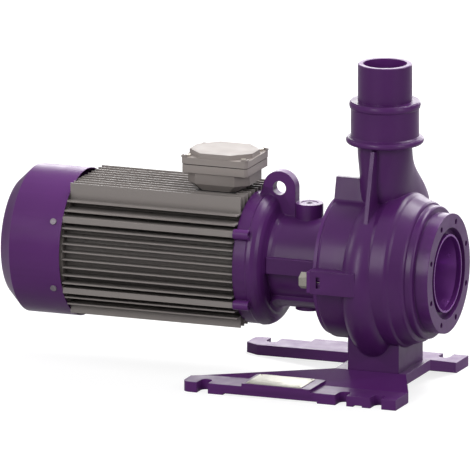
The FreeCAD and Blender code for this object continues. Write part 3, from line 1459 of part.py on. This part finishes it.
def make_terminal_box():
    """Terminal box on the frame: gasket, cast box, seal, lid with cut corners, screws, block and plugs."""
    def in_place(label, item):
        """Pieces of the box are drawn about its own upright axis."""
        place(item, "box_x_centre")
        return node(label, group(label, [item]))

    foot = padded("box_gasket_plate", "XY_Plane",
        rectangle(("-box_foot_x/2", "box_foot_x/2"), ("-box_foot_y/2", "box_foot_y/2")), "box_foot_z",
        "box_gasket")
    hole = rod("box_gasket_hole", "z", ("0", "0", "box_foot_z - 1"), "cable_hole_radius", "box_gasket + 2")
    in_place("box_gasket", cut("box_gasket_cut", foot, [hole]))

    lower_z = "box_foot_z + box_gasket"
    middle_z = f"{lower_z} + box_taper_height"
    rim_z = f"{middle_z} + box_height"
    taper = computed("box_taper", taper_between(value(lower_z), value(middle_z)))
    middle = padded("box_middle", "XY_Plane", cut_corners("box_x/2", "box_y/2", "box_corner"), middle_z,
        "box_height")
    rim = padded("box_rim", "XY_Plane", cut_corners("rim_x/2", "rim_y/2", "rim_corner"), rim_z, "rim_height")
    floor = f"{middle_z} + box_wall"
    hollows = [
        padded("box_inside", "XY_Plane", cut_corners("box_x/2 - box_wall", "box_y/2 - box_wall",
            "box_corner"),
            floor, "box_height + rim_height"),
        rod("box_floor_hole", "z", ("0", "0", f"{lower_z} - 1"), "cable_hole_radius",
            "box_taper_height + box_wall + 2"),
    ]
    for name, x, y in lid_screw_places():
        hollows.append(rod(f"lid_tap_{name}", "z", (x, y, "lid_z + lid_flange - lid_screw_length - 2"),
            "lid_screw_radius + running_gap", "lid_screw_length"))
    plugs = []
    for name, sign in (("front", 1), ("rear", -1)):
        start = (f"{sign}*entry_spread/2", "box_y/2 - box_wall - 1", f"{middle_z} + box_height/2")
        hollows.append(rod(f"entry_hole_{name}", "y", start, "entry_radius - 3 + running_gap",
            "box_wall + 10"))
        thread = rod(f"entry_thread_{name}", "y", start, "entry_radius - 3", "box_wall + 1")
        head = hexagon(f"entry_head_{name}", "y", (start[0], "box_y/2", start[2]), "sqrt(3)*entry_radius",
            "entry_head_length")
        plugs.append(fused(f"entry_plug_{name}", [thread, head]))
    in_place("terminal_box", cut("box_cut", fused("box_solid", [taper, middle, rim]), hollows))
    in_place("entry_plugs", group("entry_plug_pair", plugs))

    seal = padded("lid_seal_plate", "XY_Plane", cut_corners("rim_x/2 - 1", "rim_y/2 - 1", "rim_corner"),
        "box_seam_z", "box_gasket")
    seal_hollows = [padded("lid_seal_inside", "XY_Plane",
        cut_corners("box_x/2 - box_wall", "box_y/2 - box_wall", "box_corner"), "box_seam_z - 1",
        "box_gasket + 2")]
    lid_flange = padded("lid_plate", "XY_Plane", cut_corners("lid_x/2", "lid_y/2", "rim_corner"), "lid_z",
        "lid_flange")
    lid_top = padded("lid_top", "XY_Plane", cut_corners("lid_x/2 - 4", "lid_y/2 - 4", "lid_corner"),
        "lid_z + lid_flange", "lid_raise")
    lid_hollows = [padded("lid_inside", "XY_Plane",
        cut_corners("lid_x/2 - 10", "lid_y/2 - 10", "lid_corner"), "lid_z - 1",
        "lid_flange + lid_raise - box_wall + 1")]
    screws = []
    for name, x, y in lid_screw_places():
        seat = (x, y, "lid_z + lid_flange")
        for hole_set, tag in ((seal_hollows, "seal"), (lid_hollows, "lid")):
            hole_set.append(rod(f"{tag}_screw_hole_{name}", "-z", (x, y, "lid_z + lid_flange + 1"),
                "lid_screw_radius + bolt_play", "lid_flange + box_gasket + 3"))
        head = rod(f"lid_head_{name}", "z", seat, "lid_screw_head_radius", "lid_screw_head_height")
        shank = rod(f"lid_shank_{name}", "-z", seat, "lid_screw_radius", "lid_screw_length")
        socket = hexagon(f"lid_socket_{name}", "z", (x, y, "lid_z + lid_flange + 2"), "lid_screw_head_radius",
            "lid_screw_head_height")
        screws.append(cut(f"lid_screw_{name}", fused(f"lid_screw_solid_{name}", [head, shank]), [socket]))
    in_place("lid_gasket", cut("lid_seal", seal, seal_hollows))
    in_place("terminal_box_lid", cut("lid_cut", fused("lid_solid", [lid_flange, lid_top]), lid_hollows))
    in_place("lid_screws", group("lid_screw_set", screws))

    block_z = f"{floor} + 12"
    posts = [box(f"block_post_{name}", (f"{x} - 4", f"{x} + 4"), ("-block_y/2", "block_y/2"),
        (floor, block_z))
        for name, x in (("front", "block_x/2 - 4"), ("rear", "-block_x/2 + 4"))]
    block = box("block_bar", ("-block_x/2", "block_x/2"), ("-block_y/2", "block_y/2"),
        (block_z, f"{block_z} + block_z"))
    studs = []
    stud_holes = []
    for k in (-1, 0, 1):
        for side, sign in SIDES:
            start = (f"{k}*stud_pitch", f"{sign}*block_y/4", f"{block_z} + 2")
            stud_holes.append(rod(f"stud_hole_{k + 2}_{side}", "z", start, "stud_radius + running_gap",
                "block_z"))
            stud = rod(f"stud_rod_{k + 2}_{side}", "z", start, "stud_radius", "stud_length")
            nut = hexagon(f"stud_nut_{k + 2}_{side}", "z", (start[0], start[1], f"{block_z} + block_z"),
                "3.6*stud_radius", "4")
            studs.append(fused(f"stud_{k + 2}_{side}", [stud, nut]))
    in_place("terminal_block", cut("block_cut", fused("block_solid", [block] + posts), stud_holes))
    in_place("terminal_studs", group("stud_set", studs))


def lid_screw_places():
    """The four lid screws, in the cut corners of the lid."""
    return [
        (f"{end}_{side}", f"{along}*(rim_x/2 - lid_screw_inset)", f"{sign}*(rim_y/2 - lid_screw_inset)")
        for end, along in (("front", 1), ("rear", -1))
        for side, sign in SIDES
    ]


def taper_between(low, high):
    """Foot of the terminal box, widening from the gasket to the octagonal middle."""
    def level(half_x, half_y, corner, z):
        corners = cut_corners(half_x, half_y, corner)
        points = [Vector(value(x), value(y), z) for x, y in corners]
        return Part.makePolygon(points + points[:1])

    bottom = level("box_foot_x/2", "box_foot_y/2", "box_corner/2", low)
    top = level("box_x/2", "box_y/2", "box_corner", high)
    return Part.makeLoft([bottom, top], True, True)


def check_and_write():
    """Stop on any failed object, then write each sub-part."""
    doc.recompute()
    for item in doc.Objects:
        if "Invalid" in item.State or "Error" in item.State:
            raise RuntimeError(f"{item.Name} failed: {item.State}")
    os.makedirs("parts", exist_ok=True)
    for label, item in NODES.items():
        if item.Shape.isNull() or not item.Shape.isValid():
            raise RuntimeError(f"{label} has no valid shape")
        item.Shape.exportStep(f"parts/{label}.step")


make_casing()
make_base()
make_coupling()
make_liner()
make_impeller()
make_cover()
make_shaft()
make_bearings()
make_bracket()
make_clamp_bolts()
make_frame()
make_motor_core()
make_rear_end()
make_fan()
make_fan_cover()
make_terminal_box()
check_and_write()
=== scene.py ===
import bpy
import bmesh
import json
import math
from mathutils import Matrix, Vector


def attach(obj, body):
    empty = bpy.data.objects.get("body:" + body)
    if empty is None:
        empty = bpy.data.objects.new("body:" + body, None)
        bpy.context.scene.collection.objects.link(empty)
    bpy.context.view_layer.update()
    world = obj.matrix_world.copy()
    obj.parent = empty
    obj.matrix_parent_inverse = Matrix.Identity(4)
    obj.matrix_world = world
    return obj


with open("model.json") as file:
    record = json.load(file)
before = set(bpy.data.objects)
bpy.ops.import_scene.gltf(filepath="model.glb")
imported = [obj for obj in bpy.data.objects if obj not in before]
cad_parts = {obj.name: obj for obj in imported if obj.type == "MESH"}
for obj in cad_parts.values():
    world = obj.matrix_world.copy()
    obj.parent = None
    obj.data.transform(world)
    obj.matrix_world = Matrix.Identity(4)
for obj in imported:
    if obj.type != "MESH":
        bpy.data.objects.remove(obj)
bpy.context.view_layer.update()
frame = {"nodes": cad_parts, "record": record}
NODES = frame["nodes"]
SCENE = bpy.context.scene
SCENE.view_settings.view_transform = "Standard"

# Places in metres, the same as in the CAD source

FLANGE_X = 0.5395
AXIS_Z = 0.281
MM = 0.001


def mm(x, y, z):
    """Point in metres from millimetres about the centre of the suction face, on the shaft axis."""
    return Vector((FLANGE_X + x * MM, y * MM, AXIS_Z + z * MM))


# Camera

CAMERA_TURN = 21.3
CAMERA_RISE = 13.2
CAMERA_LENS = 1600
SENSOR_WIDTH = 36
FRAME_WIDTH = 1.1097
CAMERA_TARGET = Vector((0, 0, 0.3284))


def make_camera():
    data = bpy.data.cameras.new("camera")
    data.lens = CAMERA_LENS
    data.sensor_width = SENSOR_WIDTH
    camera = bpy.data.objects.new("camera", data)
    SCENE.collection.objects.link(camera)
    turn, rise = math.radians(CAMERA_TURN), math.radians(CAMERA_RISE)
    level = Vector((math.sin(turn), -math.cos(turn), 0))
    back = level * math.cos(rise) + Vector((0, 0, math.sin(rise)))
    distance = FRAME_WIDTH / SENSOR_WIDTH * CAMERA_LENS
    camera.location = CAMERA_TARGET + back * distance
    camera.rotation_mode = "QUATERNION"
    camera.rotation_quaternion = (-back).to_track_quat("-Z", "Y")
    data.clip_start = 0.1
    data.clip_end = 200
    SCENE.camera = camera


# Material building

def linear(red, green, blue):
    """Linear colour from 0 to 255 display values."""
    def channel(c):
        c /= 255
        return c / 12.92 if c <= 0.04045 else ((c + 0.055) / 1.055) ** 2.4
    return channel(red), channel(green), channel(blue), 1.0


class Material:
    """A node material with a few short helpers."""

    def __init__(self, name):
        self.material = bpy.data.materials.new(name)
        self.material.use_nodes = True
        self.nodes = self.material.node_tree.nodes
        self.links = self.material.node_tree.links
        self.shader = self.nodes["Principled BSDF"]
        self.coordinates = self.nodes.new("ShaderNodeTexCoord")

    def set(self, **values):
        for name, value in values.items():
            title = name.replace("_", " ").title().replace("Ior", "IOR")
            self.shader.inputs[title].default_value = value

    def add(self, kind, **settings):
        node = self.nodes.new(kind)
        for name, value in settings.items():
            setattr(node, name, value)
        return node

    def link(self, source, target):
        self.links.new(source, target)

    def noise(self, scale, detail=3, stretch=None):
        """Noise in object space; stretch scales the coordinates per axis."""
        node = self.add("ShaderNodeTexNoise")
        node.inputs["Scale"].default_value = scale
        node.inputs["Detail"].default_value = detail
        source = self.coordinates.outputs["Object"]
        if stretch:
            mapping = self.add("ShaderNodeMapping")
            mapping.inputs["Scale"].default_value = stretch
            self.link(source, mapping.inputs["Vector"])
            source = mapping.outputs["Vector"]
        self.link(source, node.inputs["Vector"])
        return node.outputs["Fac"]

    def ramp(self, source, low, high, first, last):
        """Map a factor between two positions to two grey values."""
        node = self.add("ShaderNodeValToRGB")
        for element, position, grey in zip(node.color_ramp.elements, (low, high), (first, last)):
            element.position = position
            element.color = (grey, grey, grey, 1)
        self.link(source, node.inputs["Fac"])
        return node.outputs["Color"]

    def mix(self, factor, first, last):
        node = self.add("ShaderNodeMix", data_type="RGBA")
        self.link(factor, node.inputs["Factor"])
        for socket, value in ((node.inputs["A"], first), (node.inputs["B"], last)):
            if isinstance(value, tuple):
                socket.default_value = value
            else:
                self.link(value, socket)
        return node.outputs["Result"]

    def surface(self, bumps, edge=0.0):
        """Chain bumps of (factor, strength, distance) onto rounded edges of a radius."""
        normal = None
        if edge:
            rounded = self.add("ShaderNodeBevel", samples=6)
            rounded.inputs["Radius"].default_value = edge
            normal = rounded.outputs["Normal"]
        for factor, strength, distance in bumps:
            bump = self.add("ShaderNodeBump")
            bump.inputs["Strength"].default_value = strength
            bump.inputs["Distance"].default_value = distance
            self.link(factor, bump.inputs["Height"])
            if normal:
                self.link(normal, bump.inputs["Normal"])
            normal = bump.outputs["Normal"]
        if normal:
            self.link(normal, self.shader.inputs["Normal"])

    def gaps(self, reach):
        """Factor that is low in gaps narrower than about the reach and 1 on open faces."""
        # Ambient occlusion, used to paint shade into the colour
        open_share = self.add("ShaderNodeAmbientOcclusion", samples=8)
        open_share.inputs["Distance"].default_value = reach
        return self.ramp(open_share.outputs["AO"], 0.25, 0.85, 0, 1)

    def edges(self):
        """Factor that is high on outer edges."""
        geometry = self.add("ShaderNodeNewGeometry")
        return self.ramp(geometry.outputs["Pointiness"], 0.52, 0.6, 0, 1)


# Width in metres below which a gap between fins is painted darker as shade
GAP_REACH = 0.022


def scaled(colour, factor):
    return tuple(min(1, c * factor) for c in colour[:3]) + (1.0,)


def paint(name, colour, roughness=0.32, gloss=0.3, peel=0.12, edge=0.0015, cast=0.0, mottle=0.07,
          metal=0.0, painted_gap_shade=0.0):
    """Sprayed paint: slight mottling, orange peel, edges painted paler as a painted highlight, cast
    texture, painted shade in narrow gaps.
    """
    m = Material(name)
    patches = m.ramp(m.noise(9, 4), 0.35, 0.65, 0, 1)
    base = m.mix(patches, scaled(colour, 1 - mottle), scaled(colour, 1 + mottle))
    # Painted highlight: outer edges take a paler copy of the colour
    base = m.mix(m.edges(), base, scaled(colour, 1.4))
    # Painted shade: narrow gaps are darkened in the base colour
    if painted_gap_shade:
        base = m.mix(m.gaps(GAP_REACH), scaled(colour, painted_gap_shade), base)
    m.link(base, m.shader.inputs["Base Color"])
    rough = m.ramp(m.noise(30, 4), 0.3, 0.7, roughness * 0.88, roughness * 1.15)
    m.link(rough, m.shader.inputs["Roughness"])
    m.set(specular_ior_level=gloss, metallic=metal)
    bumps = [(m.noise(420, 2), peel, 0.0004)]
    if cast:
        bumps.insert(0, (m.noise(90, 5), cast, 0.0012))
    m.surface(bumps, edge)
    return m.material


def bare_metal(name, colour, roughness=0.3, stretch=(1, 1, 1), edge=0.0006, grain=0.25,
               metallic=1.0):
    """Machined or plated metal with fine tool marks along one direction."""
    m = Material(name)
    marks = m.noise(260, 3, stretch)
    base = m.mix(m.ramp(marks, 0.3, 0.7, 0, 1), scaled(colour, 0.86), scaled(colour, 1.08))
    m.link(base, m.shader.inputs["Base Color"])
    rough = m.ramp(m.noise(60, 4), 0.3, 0.7, roughness * 0.8, roughness * 1.3)
    m.link(rough, m.shader.inputs["Roughness"])
    m.set(metallic=metallic)
    m.surface([(marks, grain, 0.0003)], edge)
    return m.material


def moulded(name, colour, roughness=0.55, grain=0.3, scale=300, edge=0.0006):
    """Rubber, plastic or carbide with a fine even grain."""
    m = Material(name)
    pores = m.noise(scale, 3)
    base = m.mix(m.ramp(m.noise(25, 4), 0.3, 0.7, 0, 1), scaled(colour, 0.85), scaled(colour, 1.2))
    m.link(base, m.shader.inputs["Base Color"])
    m.link(m.ramp(pores, 0.3, 0.7, roughness * 0.9, roughness * 1.15), m.shader.inputs["Roughness"])
    m.surface([(pores, grain, 0.0004)], edge)
    return m.material


PURPLE = linear(82, 35, 98)
GREY = linear(142, 134, 130)
FIN_GREY = linear(132, 126, 123)

MATERIALS = {
    "pump_paint": paint("purple_casting", PURPLE, 0.32, 0.34, 0.06, 0.0024, 0.04),
    "motor_paint": paint("grey_satin", GREY, 0.45, 0.25, 0.05, 0.0014, 0.06),
    # The fins get painted shade in the gaps between them
    "fin_metal": paint("fin_grey", FIN_GREY, 0.45, 0.25, 0.04, 0.0006, 0.05, painted_gap_shade=0.58),
    "bolt_steel": bare_metal("bolt_steel", linear(205, 202, 198), 0.34),
    "plated_screw": bare_metal("plated_screw", linear(212, 206, 196), 0.3),
    "shaft_steel": bare_metal("ground_steel", linear(196, 196, 198), 0.22, (12, 1, 1)),
    "cast_iron": bare_metal("machined_iron", linear(96, 94, 96), 0.45, (8, 1, 1), 0.001, 0.35, 0.8),
    "bearing_steel": bare_metal("bearing_steel", linear(210, 210, 214), 0.14, (10, 1, 1)),
    "core_steel": bare_metal("core_laminations", linear(88, 88, 92), 0.5, (60, 1, 1), 0.0004, 0.6, 0.7),
    "winding_copper": bare_metal("enamelled_copper", linear(168, 92, 52), 0.4, (1, 30, 30), 0.0006,
                                 0.8, 0.6),
    "cast_aluminium": bare_metal("cast_aluminium", linear(196, 196, 196), 0.42, (1, 1, 1), 0.001, 0.4),
    "seal_rubber": moulded("rubber", linear(24, 24, 25), 0.6),
    "seal_carbide": moulded("carbide", linear(46, 46, 50), 0.25, 0.05),
    "fan_plastic": moulded("fan_plastic", linear(38, 38, 40), 0.5),
    "block_plastic": moulded("block_plastic", linear(58, 46, 38), 0.5),
    "stud_brass": bare_metal("stud_brass", linear(198, 164, 90), 0.3),
}

# Nodes whose surface differs from the castings of the same paint
SPECIAL = {
    "fan_cover": paint("purple_sheet", PURPLE, 0.32, 0.34, 0.03, 0.0008, 0.0, 0.03),
    "base_plate": paint("purple_plate", PURPLE, 0.38, 0.32, 0.05, 0.0018, 0.04),
    "discharge_coupling": paint("purple_turned", PURPLE, 0.32, 0.32, 0.05, 0.0014, 0.03, 0.05),
    "clamp_bolts": bare_metal("dull_zinc", linear(168, 163, 154), 0.5, (1, 1, 1), 0.0008, 0.3, 0.6),
    # The liner takes the purple at twice its brightness, a painted highlight for the lit bore; its gloss
    # and half-metal finish are real
    "suction_liner": paint("purple_liner_painted_highlight", scaled(PURPLE, 2.0), 0.24, 0.5, 0.03, 0.0012, metal=0.5),
    "fan_cover_screws": bare_metal("dull_screw", linear(150, 140, 150), 0.5, (1, 1, 1), 0.0004, 0.3, 0.5),
}
PLATE_METAL = bare_metal("brushed_plate", linear(222, 220, 206), 0.42, (1, 24, 1), 0.0003, 0.35, 0.55)


def dress_nodes():
    """Every CAD node takes the material of its slot in the record, or its own."""
    slot_of = {part["node"]: part["material_slot"] for part in frame["record"]["subparts"]}
    for name, item in NODES.items():
        item.data.materials.clear()
        item.data.materials.append(SPECIAL.get(name) or MATERIALS[slot_of[name]])


# Pieces

def piece_from(name, build, material, body="pump_unit", bevel=0.0, segments=2):
    """Finish a bmesh as a scene piece that rides on a body."""
    mesh = bpy.data.meshes.new(name)
    bmesh.ops.recalc_face_normals(build, faces=build.faces)
    build.to_mesh(mesh)
    build.free()
    piece = bpy.data.objects.new(name, mesh)
    SCENE.collection.objects.link(piece)
    mesh.materials.append(material)
    if bevel:
        rounding = piece.modifiers.new("rounding", "BEVEL")
        rounding.width = bevel
        rounding.segments = segments
        rounding.limit_method = "ANGLE"
    for face in mesh.polygons:
        face.use_smooth = True
    split = piece.modifiers.new("split", "EDGE_SPLIT")
    split.split_angle = math.radians(40)
    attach(piece, body)
    return piece


def extruded(build, corners, low, high):
    """Prism over a closed outline of (x, y), in millimetres, between two heights."""
    rings = [[build.verts.new(mm(x, y, z)) for x, y in corners] for z in (low, high)]
    build.faces.new(rings[0])
    build.faces.new(rings[1])
    count = len(corners)
    for k in range(count):
        after = (k + 1) % count
        build.faces.new((rings[0][k], rings[0][after], rings[1][after], rings[1][k]))


def rounded_outline(x0, x1, y0, y1, radius, steps=5):
    corners = []
    for cx, cy, first in ((x1 - radius, y1 - radius, 0), (x0 + radius, y1 - radius, 90),
                          (x0 + radius, y0 + radius, 180), (x1 - radius, y0 + radius, 270)):
        for k in range(steps + 1):
            turn = math.radians(first + 90 * k / steps)
            corners.append((cx + radius * math.cos(turn), cy + radius * math.sin(turn)))
    return corners


def turned_piece(build, centre, axis, profile, steps=28):
    """Solid of revolution from (along, radius) in millimetres, closed at both ends."""
    axis = Vector(axis).normalized()
    side = axis.orthogonal().normalized()
    up = axis.cross(side)
    rings = []
    for along, radius in profile:
        ring = []
        for k in range(steps):
            turn = 2 * math.pi * k / steps
            offset = axis * along + (side * math.cos(turn) + up * math.sin(turn)) * radius
            ring.append(build.verts.new(mm(*(Vector(centre) + offset))))
        rings.append(ring)
    for low, high in zip(rings, rings[1:]):
        for k in range(steps):
            after = (k + 1) % steps
            build.faces.new((low[k], low[after], high[after], high[k]))
    build.faces.new(rings[0])
    build.faces.new(rings[-1])


PAD_TOP = -249
PLATE_X = (-421, -281)
PLATE_Y = (-236, -141)
PLATE_THICKNESS = 1.2
PLATE_CORNER = 4
PLATE_SINK = 0.1
RIVET_INSET = 7
# Rivet head from (height above the plate, radius)
RIVET_DOME = [(-0.3, 2.6), (0.3, 2.6), (0.9, 2.2), (1.3, 1.3), (1.45, 0.3)]


def make_bare_plate():
    """Blank plate riveted on the pad of the near rail."""
    build = bmesh.new()
    outline = rounded_outline(*PLATE_X, *PLATE_Y, PLATE_CORNER)
    extruded(build, outline, PAD_TOP - PLATE_SINK, PAD_TOP + PLATE_THICKNESS)
    piece_from("bare_plate", build, PLATE_METAL, bevel=0.0003)
    build = bmesh.new()
    for x in (PLATE_X[0] + RIVET_INSET, PLATE_X[1] - RIVET_INSET):
        for y in (PLATE_Y[0] + RIVET_INSET, PLATE_Y[1] - RIVET_INSET):
            turned_piece(build, (x, y, PAD_TOP + PLATE_THICKNESS), (0, 0, 1), RIVET_DOME, 20)
    piece_from("plate_rivets", build, MATERIALS["plated_screw"])


BOX_CENTRE_X = -565
LID_X, LID_Y = 167, 143
LID_FLANGE_TOP = 243
LIP_LEG = 15
LIP_WALL = 2.4
LIP_HEIGHT = 5
LIP_SINK = 0.3
LIP_INSET = 0.4


def make_lid_lips():
    """Low lips that guard the screws at the four corners of the terminal box lid."""
    build = bmesh.new()
    for sx in (-1, 1):
        for sy in (-1, 1):
            edge_x, edge_y = LID_X / 2 - LIP_INSET, LID_Y / 2 - LIP_INSET
            outline = [(edge_x, edge_y), (edge_x - LIP_LEG, edge_y), (edge_x - LIP_LEG, edge_y - LIP_WALL),
                       (edge_x - LIP_WALL, edge_y - LIP_WALL), (edge_x - LIP_WALL, edge_y - LIP_LEG),
                       (edge_x, edge_y - LIP_LEG)]
            corners = [(BOX_CENTRE_X + sx * x, sy * y) for x, y in outline]
            extruded(build, corners, LID_FLANGE_TOP - LIP_SINK, LID_FLANGE_TOP + LIP_HEIGHT)
    piece_from("lid_lips", build, MATERIALS["motor_paint"], bevel=0.0005)


# Floor, world and lights

# Share of the white surroundings that reflections on the object show
GLOSS_SHARE = 0.22
FLOOR_GREY = (0.32, 0.32, 0.32, 1)
FLOOR_GLOW = 0.8
FLOOR_HALF_SIZE = 30
SKY_STRENGTH = 0.58
# Sky colour from the horizon up, by (share of the way to overhead, colour)
SKY = ((0.0, (0.2, 0.2, 0.2, 1)), (0.35, (0.42, 0.42, 0.43, 1)), (1.0, (0.95, 0.95, 0.97, 1)))


def seen_directly(nodes, links, with_gloss):
    """Factor that is 1 for camera and transmission rays, and with_gloss for glossy rays."""
    path = nodes.new("ShaderNodeLightPath")
    glossy = nodes.new("ShaderNodeMath")
    glossy.operation = "MULTIPLY"
    glossy.inputs[1].default_value = with_gloss
    links.new(path.outputs["Is Glossy Ray"], glossy.inputs[0])
    total = glossy.outputs[0]
    for name in ("Is Camera Ray", "Is Transmission Ray"):
        both = nodes.new("ShaderNodeMath")
        both.operation = "MAXIMUM"
        links.new(total, both.inputs[0])
        links.new(path.outputs[name], both.inputs[1])
        total = both.outputs[0]
    return total


def make_floor():
    """Pale floor that shows white where no shadow of the object falls."""
    mesh = bpy.data.meshes.new("floor")
    build = bmesh.new()
    bmesh.ops.create_grid(build, x_segments=1, y_segments=1, size=FLOOR_HALF_SIZE)
    build.to_mesh(mesh)
    build.free()
    floor = bpy.data.objects.new("floor", mesh)
    SCENE.collection.objects.link(floor)
    m = Material("pale_floor")
    m.set(base_color=FLOOR_GREY, roughness=0.9, specular_ior_level=0.0)
    glow = m.add("ShaderNodeEmission")
    glow.inputs["Strength"].default_value = FLOOR_GLOW
    both = m.add("ShaderNodeAddShader")
    seen = m.add("ShaderNodeMixShader")
    m.link(m.shader.outputs[0], both.inputs[0])
    m.link(glow.outputs[0], both.inputs[1])
    m.link(seen_directly(m.nodes, m.links, GLOSS_SHARE), seen.inputs[0])
    m.link(m.shader.outputs[0], seen.inputs[1])
    m.link(both.outputs[0], seen.inputs[2])
    m.link(seen.outputs[0], m.nodes["Material Output"].inputs["Surface"])
    mesh.materials.append(m.material)


def make_world():
    """White to the camera, a pale sky for light, and part of the white in reflections."""
    world = bpy.data.worlds.new("studio")
    SCENE.world = world
    world.use_nodes = True
    nodes, links = world.node_tree.nodes, world.node_tree.links
    light = nodes["Background"]
    coordinates = nodes.new("ShaderNodeTexCoord")
    split = nodes.new("ShaderNodeSeparateXYZ")
    ramp = nodes.new("ShaderNodeValToRGB")
    ramp.color_ramp.elements.new(SKY[1][0])
    for element, (position, colour) in zip(ramp.color_ramp.elements, SKY):
        element.position = position
        element.color = colour
    links.new(coordinates.outputs["Generated"], split.inputs[0])
    links.new(split.outputs["Z"], ramp.inputs["Fac"])
    links.new(ramp.outputs["Color"], light.inputs["Color"])
    light.inputs["Strength"].default_value = SKY_STRENGTH
    white = nodes.new("ShaderNodeBackground")
    white.inputs["Color"].default_value = (1, 1, 1, 1)
    chosen = nodes.new("ShaderNodeMixShader")
    links.new(seen_directly(nodes, links, GLOSS_SHARE), chosen.inputs[0])
    links.new(light.outputs[0], chosen.inputs[1])
    links.new(white.outputs[0], chosen.inputs[2])
    links.new(chosen.outputs[0], nodes["World Output"].inputs["Surface"])


def area_light(name, place, aim, size, power):
    data = bpy.data.lights.new(name, "AREA")
    data.shape = "RECTANGLE"
    data.size, data.size_y = size
    data.energy = power
    lamp = bpy.data.objects.new(name, data)
    SCENE.collection.objects.link(lamp)
    lamp.location = place
    lamp.rotation_mode = "QUATERNION"
    lamp.rotation_quaternion = (Vector(aim) - Vector(place)).to_track_quat("-Z", "Y")


# Soft lamps by name, place, point that they aim at, size in metres and power in watts
LAMPS = (
    ("key", (0.6, 1.8, 3.2), (0, 0, 0.35), (2.4, 1.4), 100),
    ("front", (-0.6, -4.0, 2.3), (0, 0, 0.3), (1.2, 2.4), 62),
    ("side", (3.6, -1.2, 1.9), (0.3, 0, 0.3), (1.0, 2.0), 30),
    ("left", (-4.0, -0.6, 2.2), (-0.3, 0, 0.3), (1.6, 1.6), 24),
    ("back", (-0.4, 4.0, 1.4), (0, 0, 0.2), (4.4, 1.8), 95),
)


make_camera()
make_world()
for lamp in LAMPS:
    area_light(*lamp)
make_floor()
dress_nodes()
make_bare_plate()
make_lid_lips()
